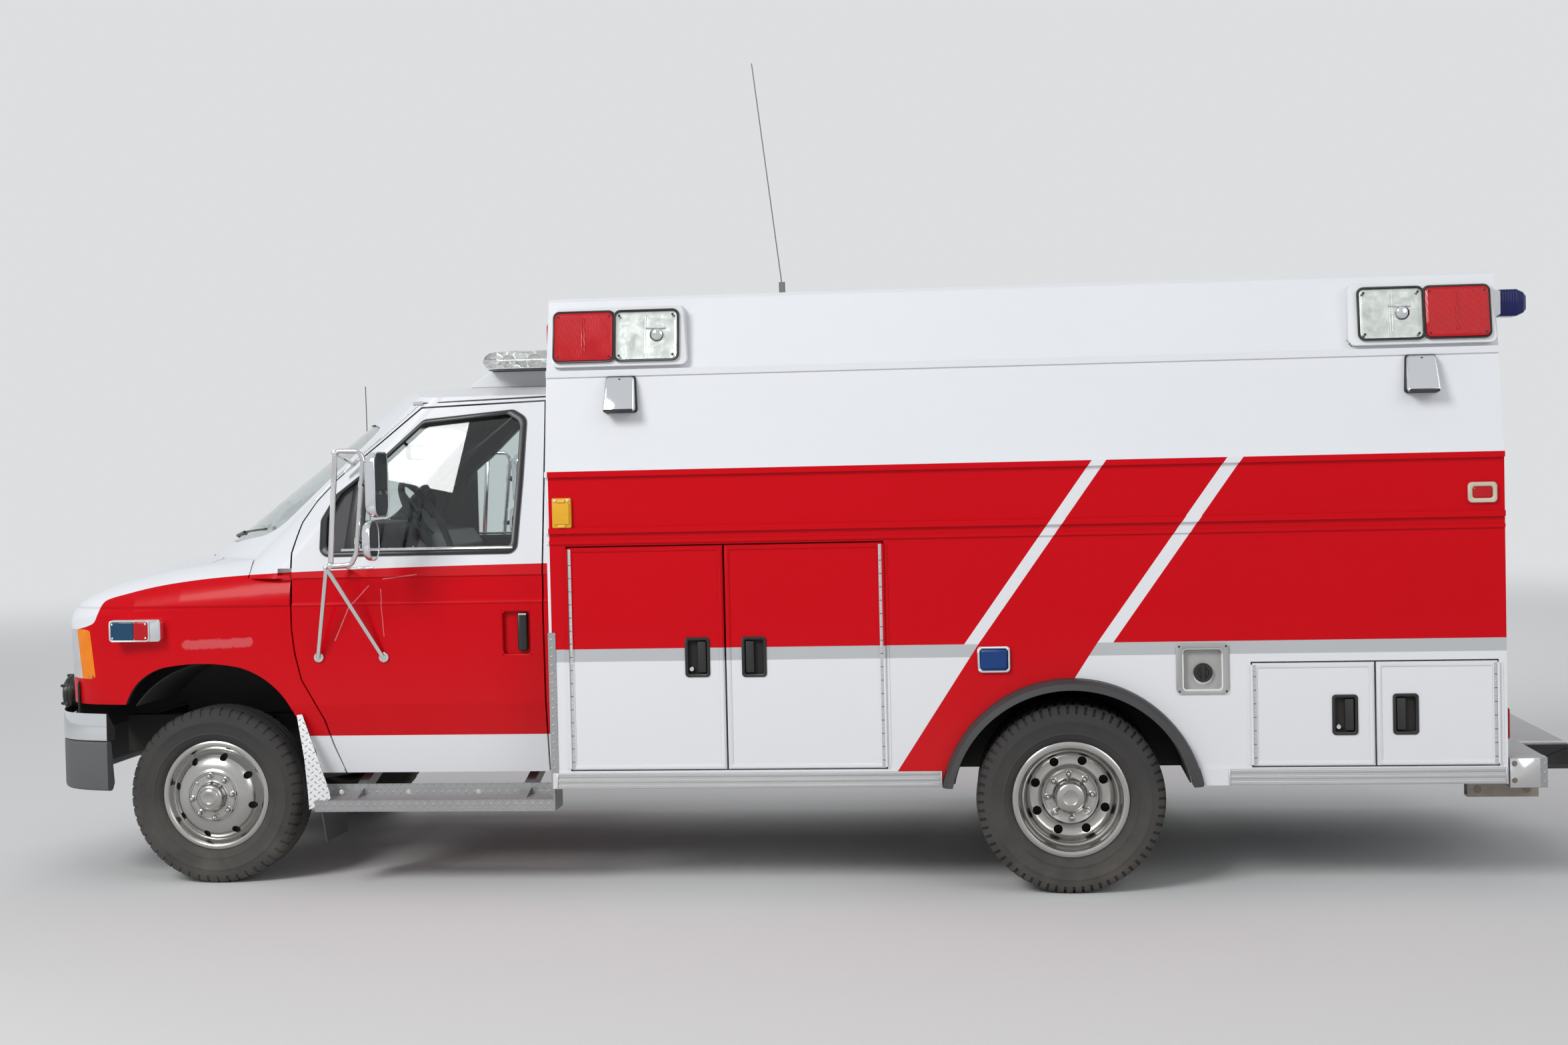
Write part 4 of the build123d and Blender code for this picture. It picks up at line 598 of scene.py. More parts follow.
def mirrored(piece, name):
    """The same piece on the other side of the vehicle."""
    return flip(twin(piece, name))


def draw_in(piece, outward, limit, *steps):
    """Inset the faces that look outward, in steps of (inward, outward) in millimetres."""
    pick_faces(piece, lambda place, normal: normal.dot(outward) > limit)
    for inward, rise in steps:
        bpy.ops.mesh.inset(thickness=inward * mm, depth=rise * mm)
    bpy.ops.object.mode_set(mode="OBJECT")
    return piece


def rod(name, steps, radius, length, middle, rotation):
    """A round bar of a radius and a length in millimetres, about its middle."""
    clear_selection()
    bpy.ops.mesh.primitive_cylinder_add(vertices=steps, radius=radius * mm, depth=length * mm,
                                        location=middle, rotation=rotation)
    return settle(name)


def hang_pair(left, body, slot, *replaced):
    """Hang a left piece and its mirror image. A name with a pair of braces gets the side's word."""
    right = mirrored(left, left.name.replace("left", "right"))
    for piece, word in ((left, "left"), (right, "right")):
        hang(piece, body.format(word), slot, *[node.format(word) for node in replaced])
    return left, right


def hang_mirrored(drawn, name, body, slot):
    """Hang only the mirror image of a piece that was drawn on the driver's side."""
    hang(mirrored(drawn, name), body, slot)
    bpy.data.objects.remove(drawn)


# %% [markdown]
# Many forms start as a line of edges drawn through points. It grows from a single vertex by extruding, as by
# hand. A line can be filled, bridged or spun afterwards. Whatever it becomes, the end is the same: double
# points are merged, the faces are turned outward, and the piece is smoothed and gets its finish.

# %% Drawn lines and spun forms
# Distances in metres at which double points are merged
spun_gap, curve_gap, copy_gap = 0.00005, 0.00001, 0.00002


def draw_line(points):
    """Draw a run of edges through points, as a new mesh in edit mode."""
    clear_selection()
    bpy.ops.mesh.primitive_plane_add(size=0.01, location=(0, 0, 0))
    bpy.ops.object.mode_set(mode="EDIT")
    bpy.ops.mesh.select_mode(type="VERT")
    bpy.ops.mesh.select_all(action="SELECT")
    bpy.ops.mesh.merge(type="CENTER")
    bpy.ops.transform.translate(value=points[0])
    for start, end in zip(points, points[1:]):
        bpy.ops.mesh.extrude_vertices_move(TRANSFORM_OT_translate={"value": end - start})
    bpy.ops.mesh.select_all(action="SELECT")


def complete(name, material=None, gap=0.0, angle=0):
    """Merge what is drawn, turn it outward, leave edit mode, and smooth and finish the piece."""
    bpy.ops.mesh.select_all(action="SELECT")
    if gap:
        bpy.ops.mesh.remove_doubles(threshold=gap)
    bpy.ops.mesh.normals_make_consistent(inside=False)
    piece = settle(name)
    if angle:
        smooth(piece, angle)
    if material is not None:
        piece.data.materials.append(material)
    return piece


def lathe(name, profile, x, z, steps):
    """Spin a profile of (radius, distance from the centre line) points round an axle, on the left side."""
    draw_line([at(x, -out, z + radius) for radius, out in profile])
    bpy.ops.mesh.spin(steps=steps, angle=tau, center=at(x, 0, z), axis=(0, 1, 0))
    return complete(name, gap=spun_gap)


# %% [markdown]
# A tyre is a closed section spun round the axle. Its tread is cut as a real mould does it: the strips between
# the ribs are pushed in, and so are narrow slots across the shoulders at an even pitch. The front tyres are
# worn road tyres with fine slots, and the rear ones carry deep blocks, so one function takes the pitch and
# the depth.

# %% Tyres
wheelbase = 3505
tyre_radius = 364
front_half_track, rear_half_track = 881, 984
dual_spacing = 257
# One side of the section, from the bead to the tread's edge, columns: radius, distance from the tyre's middle
side_wall = [(205, 74), (214, 76), (221, 80), (227, 84), (232, 93), (238, 99), (246, 104), (254, 107),
             (256, 109), (262, 109.5), (264, 108.5), (279, 111), (300, 110.5), (302, 111.5), (308, 111),
             (310, 109.5), (322, 108), (334, 104)]
shoulder = [(345, 99), (354, 92), (360, 84), (363.2, 74)]
# Grooves round the tread, columns: inner edge and outer edge from the middle
tread_grooves = [(17, 25), (48, 57)]
groove_depth, groove_floor, slot_floor = 9, 360, 335


def tyre(name, x, middle, steps, every, slot_depth, rib_slots):
    """One tyre, with grooves and with a slot in each shoulder at every few steps."""
    edges = sorted({edge for groove in tread_grooves for edge in groove})
    half = side_wall + shoulder + [(tyre_radius, edge) for edge in reversed(edges)]
    section = [(r, middle + y) for r, y in half] + [(r, middle - y) for r, y in reversed(half)]
    section.append(section[0])
    piece = lathe(name, section, x, tyre_radius, steps)
    hub = at(x, 0, tyre_radius)

    def column(point):
        return abs(abs(point.y) / mm - middle)

    def radius(point):
        return hypot(point.x - hub.x, point.z - hub.z) / mm

    def in_groove(point, normal):
        return radius(point) > groove_floor and any(a < column(point) < b for a, b in tread_grooves)

    def in_slot(point, normal):
        if radius(point) < slot_floor:
            return False
        angle = degrees(atan2(point.z - hub.z, point.x - hub.x)) % 360
        number = int(angle / (360 / steps))
        if column(point) > tread_grooves[-1][1]:
            return number % every == 0
        return rib_slots and number % every == every // 2 and not in_groove(point, normal)

    for test, depth in ((in_groove, groove_depth), (in_slot, slot_depth)):
        count = pick_faces(piece, test)
        bpy.ops.mesh.extrude_region_shrink_fatten(TRANSFORM_OT_shrink_fatten={"value": -depth * mm})
        print(name, test.__name__, "faces", count)
    bpy.ops.object.mode_set(mode="OBJECT")
    piece.data.materials.append(rubber)
    return smooth(piece, 32)


outer_middle, inner_middle = rear_half_track + dual_spacing / 2, rear_half_track - dual_spacing / 2
front_tyre = tyre("front_tyre_left", 0, front_half_track, 208, 4, 4, False)
outer_tyre = tyre("outer_tyre_left", wheelbase, outer_middle, 192, 3, 9, True)
inner_tyre = tyre("inner_tyre_left", wheelbase, inner_middle, 192, 3, 9, True)
hang_pair(front_tyre, "front_{}_wheel", "tyre_rubber", "tyre_front_{}")
for piece in (outer_tyre, inner_tyre):
    hang_pair(piece, "rear_{}_wheels", "tyre_rubber", "tyres_rear_{}")

# %% [markdown]
# The wheels wear polished steel covers. The front one bulges out round the hub, and the rear one sinks deep
# between the twin tyres. Each cover is a thin spun sheet: the profile is spun, the hand holes are cut with a
# ring of short round bars and a Boolean modifier, and capped nuts are copied round the hub. Behind the holes
# shows the dark disc of the wheel itself. One nut cap of the front left wheel has been lost, as the
# photograph shows, so its bare stud is left there.

# %% Wheel covers
rim_depth = 83
front_out = front_half_track + rim_depth
# Columns: radius, distance beyond the rim's outer face
front_cover = [(205, -14), (222, -8), (226, -2), (225.5, 3), (220, 5.5), (214, 6.5), (207, 5), (203, 1),
               (199, -3), (194, -12), (189, -20), (184, -22), (179, -18), (174, -9), (168, -1), (160, 7),
               (150, 14), (138, 19.5), (126, 23), (116, 25), (110, 26), (107, 29), (103, 30), (100, 26.5),
               (96, 27), (92, 32), (70, 34), (64, 35), (60, 39), (58.5, 52), (57, 66), (53, 74), (47, 78),
               (44, 79), (42, 76.5), (38, 76.5), (35, 79.5), (24, 81), (22, 79.5), (0.2, 79.5)]
rear_out = outer_middle + rim_depth
rear_cover = [(205, -14), (222, -8), (226, -2), (225.5, 3), (219, 6.5), (210, 7), (202, 4), (198, -4),
              (196, -16), (193, -34), (189, -46), (184, -52), (180, -54), (177, -60), (174, -84), (170, -104),
              (162, -116), (150, -122), (136, -124), (122, -122), (114, -117), (111, -110), (107, -107),
              (102, -108), (98, -111), (72, -110), (66, -106), (63, -96), (62, -72), (60, -60), (55, -52),
              (48, -48), (30, -46.5), (28, -48), (0.2, -48)]
# The rim behind the cover, columns: radius, distance beyond the tyre's middle
barrel = [(203, -76), (217, -79), (217, -72), (203, -70), (196, -60), (192, 40), (203, 66), (214, 70)]
disc_outer, disc_inner = 191, 64
leftward = Vector((0, -1, 0))


def round_axle(count, radius, first):
    """Places at an even pitch round an axle, as (along, up) from its line, from a first angle in degrees."""
    angles = [radians(first + number * 360 / count) for number in range(count)]
    return [(radius * cos(angle), radius * sin(angle)) for angle in angles]


def axle_rod(name, steps, radius, length, x, out, dx, dz, *steps_in):
    """A round bar that lies beside an axle and points the same way, with its outer end drawn in."""
    bar = rod(name, steps, radius, length, at(x + dx, -out, tyre_radius + dz), (pi / 2, 0, 0))
    return draw_in(bar, leftward, 0.9, *steps_in) if steps_in else bar


def wheel_cover(profile, x, out, holes, hole_circle, hole_size, first_hole, depth):
    """A spun cover with its hand holes."""
    cover = lathe("cover", [(r, out + y) for r, y in profile], x, tyre_radius, 96)
    bars = [axle_rod("bar", 24, hole_size, 90, x, out + depth, dx, dz)
            for dx, dz in round_axle(holes, hole_circle, first_hole)]
    cutter = join("cutter", *bars)
    apply_modifier(cover, "SOLIDIFY", thickness=0.0025, offset=-1)
    apply_modifier(cover, "BOOLEAN", operation="DIFFERENCE", object=cutter, solver="EXACT")
    bpy.data.objects.remove(cutter)
    return smooth(cover, 40)


def nut_cap(x, out, dx, dz):
    """A bullet-shaped cap on its flange."""
    cap = axle_rod("nut", 16, 10.5, 20, x, out + 10, dx, dz, (2.5, 4), (3, 2.5), (3, 1))
    flange = axle_rod("flange", 16, 14.5, 4, x, out + 2, dx, dz, (2, 1.5))
    return smooth(join("nut", cap, flange), 40)


def bare_stud(x, out, dx, dz):
    """The short threaded stud where a cap has been lost."""
    return smooth(axle_rod("stud", 12, 6.5, 6, x, out + 3, dx, dz, (1.5, 1)), 40)


# Columns: node, x of the axle, face of the rim, profile, hole circle, hole radius, first hole,
# depth of the holes, depth of the dark wheel disc behind them, seat of the nuts, first nut, body
wheel_rows = [
    ("wheel_front", 0, front_out, front_cover, 163, 15, 31, 5, -30, 30, 6, "front_{}_wheel"),
    ("wheels_rear", wheelbase, rear_out, rear_cover, 143, 18, 25, -120, -180, -112, 3, "rear_{}_wheels"),
]
stud_circle, stud_count, hole_count = 86, 8, 8
lost_cap = ("wheel_front", "left", 3)
for cad, x, out, profile, hole_circle, hole, first_hole, depth, disc_y, seat, first_nut, body in wheel_rows:
    tube = lathe("tube", [(r, out - rim_depth + y) for r, y in barrel], x, tyre_radius, 64)
    disc = lathe("disc", [(r, out + disc_y) for r in (disc_outer, disc_inner)], x, tyre_radius, 48)
    back = join("back", tube, disc)
    apply_modifier(back, "SOLIDIFY", thickness=0.004, offset=0)
    smooth(back, 40).data.materials.append(frame_paint)
    for word in ("left", "right"):
        parts = [wheel_cover(profile, x, out, hole_count, hole_circle, hole, first_hole, depth)]
        for number, (dx, dz) in enumerate(round_axle(stud_count, stud_circle, first_nut)):
            make = bare_stud if (cad, word, number) == lost_cap else nut_cap
            parts.append(make(x, out + seat, dx, dz))
        for part in parts:
            part.data.materials.append(wheel_steel)
        whole = join(f"{cad}_{word}_cover", *parts, twin(back, "rim"))
        if word == "right":
            flip(whole)
        hang(whole, body.format(word), "wheel_chrome", f"{cad}_{word}")
    bpy.data.objects.remove(back)
    print(cad, "faces", len(whole.data.polygons))

# %% [markdown]
# Much of the trim on such a vehicle is flat stock or a moulded block with one outline: lamp bodies, gaskets,
# seals and plates. An outline is drawn with extruded vertices, filled, and pulled out to its thickness. A
# rounded corner is worked out as an arc, so an outline keeps only the corners that a maker would measure.

# %% Outlines


def rounded(corners, radius, steps=5):
    """A closed flat outline with every corner replaced by an arc."""
    made = []
    count = len(corners)
    for number, corner in enumerate(corners):
        here = Vector(corner)
        before = Vector(corners[number - 1]) - here
        after = Vector(corners[(number + 1) % count]) - here
        half = before.angle(after) / 2
        reach = min(radius / tan(half), before.length * 0.49, after.length * 0.49)
        size = reach * tan(half)
        middle = here + (before.normalized() + after.normalized()).normalized() * (size / sin(half))
        start = here + before.normalized() * reach - middle
        end = here + after.normalized() * reach - middle
        sweep = start.angle_signed(end)
        for step in range(steps + 1):
            made.append(tuple(middle + Matrix.Rotation(-sweep * step / steps, 2) @ start))
    return made


def panel(a0, a1, b0, b1, radius, steps=5):
    """A rectangle with rounded corners."""
    return rounded([(a0, b0), (a1, b0), (a1, b1), (a0, b1)], radius, steps)


def on_side(outline, y):
    """An (x, z) outline as points on a side face, at a distance y or at one worked out from z."""
    return [at(x, y(z) if callable(y) else y, z) for x, z in outline]


def on_end(outline, x):
    """A (y, z) outline as points on a face across the vehicle."""
    return [at(x, y, z) for y, z in outline]


def on_level(outline, z):
    """An (x, y) outline as points at one height."""
    return [at(x, y, z) for x, y in outline]


def slab(name, points, pull, material, inset=0.0, rise=0.0, soft=0.0):
    """Fill a closed outline, pull it out by a vector in millimetres, and inset and soften its face."""
    draw_line(points)
    bpy.ops.mesh.edge_face_add()
    pull = Vector(pull) * mm
    bpy.ops.mesh.extrude_region_move(TRANSFORM_OT_translate={"value": pull})
    piece = complete(name, material)
    if inset:
        draw_in(piece, pull.normalized(), 0.8, (inset, rise))
    if soft:
        soften(piece, soft)
    return piece


def plate(name, outline, y, pull, material, inset=0.0, rise=0.0, soft=0.0):
    """A slab from an (x, z) outline on a side face, pulled out across the vehicle."""
    return slab(name, on_side(outline, y), (0, pull, 0), material, inset, rise, soft)


def soften(piece, width, segments=2, angle=40):
    """Bevel the sharp edges and smooth the rest."""
    apply_modifier(piece, "BEVEL", width=width * mm, segments=segments, limit_method="ANGLE",
                   angle_limit=radians(angle), harden_normals=True)
    return smooth(piece, 40)


def closed_line(name, points):
    """A closed run of edges without a face, as a piece."""
    draw_line(points)
    bpy.ops.mesh.edge_face_add()
    bpy.ops.mesh.delete(type="ONLY_FACE")
    return settle(name)


def ring(name, outer, inner, pull, material, soft=0.0):
    """A flat ring between two outlines with as many points, bridged and given a thickness."""
    first = closed_line("outer", outer)
    join(name, closed_line("inner", inner), first)
    bpy.ops.object.mode_set(mode="EDIT")
    bpy.ops.mesh.select_mode(type="EDGE")
    bpy.ops.mesh.select_all(action="SELECT")
    bpy.ops.mesh.bridge_edge_loops()
    bpy.ops.mesh.select_all(action="SELECT")
    bpy.ops.mesh.extrude_region_move(TRANSFORM_OT_translate={"value": Vector(pull) * mm})
    piece = complete(name, material)
    return soften(piece, soft) if soft else piece


def side_ring(name, box, edge, radii, y, pull, material, soft=0.0):
    """A ring with an even edge and rounded corners on a side face, pulled out across the vehicle."""
    x0, x1, z0, z1 = box
    outer = panel(x0, x1, z0, z1, radii[0])
    inner = panel(x0 + edge, x1 - edge, z0 + edge, z1 - edge, radii[1])
    return ring(name, on_side(outer, y), on_side(inner, y), (0, pull, 0), material, soft)


def stub(name, start, pull, radius, material, steps=16, crown=0.18):
    """A short round bar from a point along a vector in millimetres, with its end face drawn in."""
    pull = Vector(pull)
    bar = rod(name, steps, radius, pull.length, start + pull * mm / 2,
              pull.to_track_quat("Z", "Y").to_euler())
    draw_in(bar, pull.normalized(), 0.9, (radius * crown, radius * crown * 0.8))
    bar.data.materials.append(material)
    return smooth(bar, 40)


def corners_of(x0, x1, z0, z1, inset=0):
    """The four corners of a rectangle, drawn in by an inset."""
    return [(x, z) for x in (x0 + inset, x1 - inset) for z in (z0 + inset, z1 - inset)]


def screws(places, y, head, radius, material, steps=10):
    """Screw heads on a side face, at (x, z) places."""
    return [stub("screw", point, (0, -head, 0), radius, material, steps) for point in on_side(places, y)]


# %% [markdown]
# Coloured and clear lenses are thin plastic shells in front of bright reflectors. A coloured lens here is a
# glossy solid with fine ribs worked as bump, because little light comes back through it. A clear lens is real
# glass with a silvered box behind it, so that what stands inside shows. Several lens materials share the
# ribs, so these are a group.

# %% Lens finishes
ribs, took, gave = bare_group("lens ribs", [("Pitch", "value", 0.008)], [("Height", "value")])
lane = add(ribs, "ShaderNodeSeparateXYZ", Vector=position(ribs))
across = calc(ribs, "ADD", lane.outputs["X"], lane.outputs["Y"])
wave = calc(ribs, "SINE", calc(ribs, "MULTIPLY", calc(ribs, "DIVIDE", across, took["Pitch"]), tau))
ribs.links.new(calc(ribs, "ABSOLUTE", wave), gave["Height"])


def rib(material, pitch, strength, depth):
    """Mould ribs into a material's surface."""
    bump_into(material, use_group(material.node_tree, ribs, Pitch=pitch).outputs["Height"], strength, depth)
    return material


def lens(name, color, pitch=0.012):
    """A glossy coloured lens with moulded ribs."""
    made = new_material(name, Coat_Weight=0.18, Coat_Roughness=0.02, Specular_IOR_Level=0.25)
    wear_into(made, Color=(*color, 1), Roughness=0.12, Blotches=0.3, Blotch_Scale=14.0, Grain=0.05, Dust=0.0)
    return rib(made, pitch, 0.35, 0.0012)


lens_amber = lens("amber lens", (0.88, 0.23, 0.002))
lens_blue = lens("blue lens", (0.004, 0.042, 0.19))
lens_red = lens("ribbed red lens", (0.5, 0.003, 0.008))
lens_dull_blue = lens("dull blue lens", (0.01, 0.06, 0.13))
lens_deep_blue = lens("deep blue lens", (0.003, 0.006, 0.09), pitch=0.02)
silvered = worn("silvered reflector", (0.8, 0.81, 0.8), 0.22, bump=0.3, Blotches=0.4, Blotch_Scale=24.0,
                Grain=0.0, Dust=0.0, shader_values={"Metallic": 0.9})
clear_lens = rib(new_material("clear lens", Base_Color=(0.93, 0.95, 0.93, 1), Roughness=0.04, IOR=1.18,
                              Transmission_Weight=1.0), 0.02, 0.1, 0.001)
yellow_paint = worn("yellow cover", (0.78, 0.4, 0.012), 0.34, bump=0.06, Blotches=0.2, Blotch_Scale=20.0,
                    Dust=0.1)
cream_plastic = worn("cream plastic", (0.62, 0.55, 0.42), 0.4, bump=0.05, Blotches=0.2, Dust=0.1)
print("lens finishes ready")

# %% [markdown]
# The big warning lamps sit in white pods on the leaning part of the walls. A pod is a slab with bevelled
# edges. Each lens is a shallow dish in a black gasket, held by four dark screws, with a double rib down the
# middle. All of it is drawn on a face that leans with the pod, so a helper gives the distance out for any
# height.

# %% Warning lamps
box_half = 1174
wall_line = [(box_half, 415), (box_half, 1672), (1105, 2060), (1026, 2335)]
# The pods, columns: front edge, rear edge, span of the red lens, span of the clear lens
pods = [(1496, 2040, (1506, 1747), (1751, 2003)), (4588, 5140, (4872, 5114), (4628, 4868))]
pod_low, pod_high = 2086, 2322
lens_low, lens_high = 2106, 2303
pod_stand_low, pod_stand_high = 32, 58


def wall_out(z):
    """Distance of the box's outer face from the centre line at a height."""
    for (w0, z0), (w1, z1) in zip(wall_line, wall_line[1:]):
        if z <= z1:
            return w0 + (w1 - w0) * (z - z0) / (z1 - z0)
    return wall_line[-1][0]


def pod_out(z, beyond=0.0):
    """Distance of a pod's face from the centre line at a height."""
    share = (z - pod_low) / (pod_high - pod_low)
    low, high = wall_out(pod_low) + pod_stand_low, wall_out(pod_high) + pod_stand_high
    return low + (high - low) * share + beyond


def pod_face(beyond):
    """The y of a pod's face on the driver's side, a little further out."""
    return lambda z: -pod_out(z, beyond)


def wall_face(beyond):
    """The y of the box's side face on the driver's side, a little further out."""
    return lambda z: -(wall_out(z) + beyond)


def lamp_lens(x0, x1, is_clear):
    """Gasket, dish, ribs and screws of one lens on the driver's side."""
    material = clear_lens if is_clear else lens_red
    middle, height = (x0 + x1) / 2, (lens_low + lens_high) / 2
    rim, dish = (x0 - 5, x1 + 5, lens_low - 5, lens_high + 5), (x0 + 4, x1 - 4, lens_low + 4, lens_high - 4)
    parts = [side_ring("gasket", rim, 9, (26, 19), pod_face(0.5), -13, black_plastic, 2),
             smooth(plate("dish", panel(*dish, 19), pod_face(1.5), -16, material, 9, 3.5), 15)]
    for shift in (-5, 5):
        edge = panel(middle + shift - 3, middle + shift + 3, lens_low + 26, lens_high - 26, 2, 2)
        parts.append(plate("rib", edge, pod_face(20), -2.5, material, soft=1))
    parts += screws(corners_of(x0, x1, lens_low, lens_high, 19), pod_face(18), 3.5, 5, black_plastic)
    if is_clear:
        edge = panel(x0 + 5, x1 - 5, lens_low + 5, lens_high - 5, 18)
        arm = panel(middle - 8, middle + 78, height + 26, height + 34, 3, 2)
        bulb = at(middle + 42, pod_face(2)(height), height)
        parts += [plate("back", edge, pod_face(0.4), -1.0, silvered),
                  stub("bulb", bulb, (0, -9, 0), 27, chrome, 20, 0.3),
                  plate("carrier", arm, pod_face(2), -9, white_plastic)]
    return parts


def pod(front, rear):
    """A lamp's pod: a slab whose inner outline is drawn onto the wall."""
    face = rounded([(front, pod_low), (rear, pod_low), (rear - 20, pod_high), (front + 8, pod_high)], 24)
    foot = rounded([(front - 3, pod_low - 3), (rear + 3, pod_low - 3), (rear - 17, pod_high + 3),
                    (front + 5, pod_high + 3)], 26)
    root = on_side(foot, wall_face(0.3))
    body = plate("pod", face, pod_face(0), 0.001, white_plastic)
    for vertex in body.data.vertices:
        if vertex.index >= len(face):
            vertex.co = root[vertex.index - len(face)]
    pick_faces(body, lambda place, normal: True)
    bpy.ops.mesh.normals_make_consistent(inside=False)
    bpy.ops.object.mode_set(mode="OBJECT")
    return soften(body, 6, 3, 25)


lamp_parts = []
for front, rear, red_span, clear_span in pods:
    lamp_parts += [pod(front, rear), *lamp_lens(*red_span, False), *lamp_lens(*clear_span, True)]
warning_left = join("warning_lamps_left", *lamp_parts)
hang_pair(warning_left, "chassis", "lamp_white", "lamp_housings", "lamp_lenses")
print("warning lamp faces", len(warning_left.data.polygons))

# %% [markdown]
# Under each pod hangs a chromed flood lamp, deeper at the bottom, with a black gasket round it and a black
# lip below. Low on the wall there is a blue light in a chrome bezel, and near the rear edge a small red
# marker in a cream one. A yellow hinged cover keeps the rain off the power inlet. The small lamps are a ring
# and a slab each.

# %% Side lamps
flood_spans = [(1703, 1840), (4788, 4921)]
flood_low, flood_high, flood_taper = 1898, 2046, 9
# Depth of a flood lamp's hood at its top edge, and how much deeper it is at its low edge
hood_depth, hood_growth = 34, 38
wall_y = -(box_half + 0.3)


def flood_lamp(x0, x1):
    """Gasket, chromed hood, bright face, lip and screw."""
    outline = rounded([(x0, flood_low), (x1, flood_low), (x1 - flood_taper, flood_high),
                       (x0 + flood_taper, flood_high)], 14)
    inner = rounded([(x0 + 5, flood_low + 5), (x1 - 5, flood_low + 5), (x1 - flood_taper - 4, flood_high - 5),
                     (x0 + flood_taper + 4, flood_high - 5)], 12)
    hood = plate("hood", inner, wall_face(12), -22, chrome)
    for vertex in hood.data.vertices:
        z = vertex.co.z / mm
        if vertex.co.y < wall_face(20)(z) * mm:
            share = (flood_high - z) / (flood_high - flood_low)
            vertex.co.y = wall_face(hood_depth + hood_growth * share)(z) * mm
    draw_in(hood, leftward, 0.7, (7, 2))
    lip = panel(x0 + 10, x1 - 10, flood_low + 3, flood_low + 15, 5, 3)
    return [plate("gasket", outline, wall_face(0.3), -13, black_plastic, soft=3), soften(hood, 4, 3, 25),
            plate("lip", lip, wall_face(14), -60, black_plastic, soft=3),
            *screws([((x0 + x1) / 2, flood_high - 16)], wall_face(hood_depth), 6, 5, black_plastic)]


def bezel_lamp(x0, x1, z0, z1, rim, glow, edge, depth, screw_places):
    """A lens in a raised bezel on the flat part of the wall."""
    inner = panel(x0 + edge, x1 - edge, z0 + edge, z1 - edge, 10)
    return [side_ring("bezel", (x0, x1, z0, z1), edge, (16, 10), wall_y, -14, rim, 4),
            smooth(plate("lens", inner, wall_y, -depth, glow, 7, 4), 15),
            *screws(screw_places, wall_y - 13, 3, 4, silvered)]


low_screws = corners_of(3156, 3284, 857, 960, 11)
lamp_parts = [*flood_lamp(*flood_spans[0]), *flood_lamp(*flood_spans[1]),
              *bezel_lamp(3156, 3284, 857, 960, chrome, lens_blue, 13, 20, low_screws),
              *bezel_lamp(5010, 5118, 1479, 1557, cream_plastic, lens_red, 17, 8, [])]
side_lamps = join("side_lamps_left", *lamp_parts)
hang_pair(side_lamps, "chassis", "chrome", "lamp_housings", "lamp_lenses")

inlet_parts = [plate("cover", panel(1496, 1572, 1450, 1568, 5), wall_y, -16, yellow_paint, 5, 1.5, 2),
               plate("flap", panel(1502, 1566, 1464, 1548, 5), wall_y - 16, -6, yellow_paint, 4, 1, 1.5)]
for z in (1556, 1458):
    inlet_parts.append(plate("hinge", panel(1519, 1549, z - 7, z + 5, 2, 2), wall_y - 16, -7, yellow_paint,
                             soft=1.5))
inlet_parts += screws([(1508, 1558), (1560, 1558)], wall_y - 17, 4, 5, silvered)
hang(join("power_inlet_cover", *inlet_parts), "chassis", "lamp_white", "lamp_housings")
print("side lamp faces", len(side_lamps.data.polygons))

# %% [markdown]
# Some lamps follow a body panel that the CAD holds already, such as the headlamps on the curved nose. Copying
# those faces of the CAD node, merged into a clean mesh, keeps the panel's exact curve, and the copy can then
# be cut and given several finishes. The forms that stand free are built up from an outline, extruded in steps
# with a scale at each step, or turned from a profile.

# %% Copies, domes and turned forms


def within(x0, x1, y0, y1, z0, z1):
    """A test for faces whose middle lies in a box."""
    low, high = at(x0, y0, z0), at(x1, y1, z1)
    return lambda place, normal: all(low[axis] <= place[axis] <= high[axis] for axis in range(3))


def copy_of(node, name, keep, *materials):
    """Some of a CAD node's faces as a clean mesh of its own."""
    clear_selection()
    piece = bpy.data.objects.new(name, nodes[node].data.copy())
    bpy.context.scene.collection.objects.link(piece)
    pick_faces(piece, lambda place, normal: not keep(place, normal))
    bpy.ops.mesh.delete(type="FACE")
    bpy.ops.mesh.select_all(action="SELECT")
    bpy.ops.mesh.remove_doubles(threshold=copy_gap)
    piece = settle(name)
    piece.data.materials.clear()
    for material in materials:
        piece.data.materials.append(material)
    return smooth(piece, 30)


def build_up(name, points, steps, material, angle=40):
    """Fill an outline and extrude it in steps, each a pull in millimetres and a scale about its middle."""
    draw_line(points)
    bpy.ops.mesh.edge_face_add()
    middle = sum(points, Vector()) / len(points)
    for pull, size in steps:
        middle = middle + Vector(pull) * mm
        bpy.ops.mesh.extrude_region_move(TRANSFORM_OT_translate={"value": Vector(pull) * mm})
        bpy.ops.transform.resize(value=size, center_override=middle)
    return complete(name, material, angle=angle)


def turned(name, start, axis, profile, material, steps=24, angle=40):
    """Spin a profile of (distance along an axis in millimetres, radius) points round that axis."""
    axis = Vector(axis).normalized()
    side = axis.orthogonal().normalized()
    draw_line([start + (axis * reach + side * radius) * mm for reach, radius in profile])
    bpy.ops.mesh.spin(steps=steps, angle=tau, center=start, axis=axis)
    return complete(name, material, spun_gap, angle)


# %% [markdown]
# The headlamp has fluted glass in front and an amber side that wraps onto the fender. The copied lens is cut
# along the slanted line between the two with a bisect, and the faces ahead of it get the fluted finish.

# %% Headlamps
fluted = worn("fluted glass", (0.7, 0.72, 0.73), 0.12, bump=0.0, Blotches=0.3, Blotch_Scale=18.0, Grain=0.0,
              Dust=0.0, shader_values={"Metallic": 0.55, "Coat Weight": 1.0, "Coat Roughness": 0.02})
rib(fluted, 0.014, 0.6, 0.002)
split_low, split_high = at(-585, 0, 855), at(-606, 0, 1054)


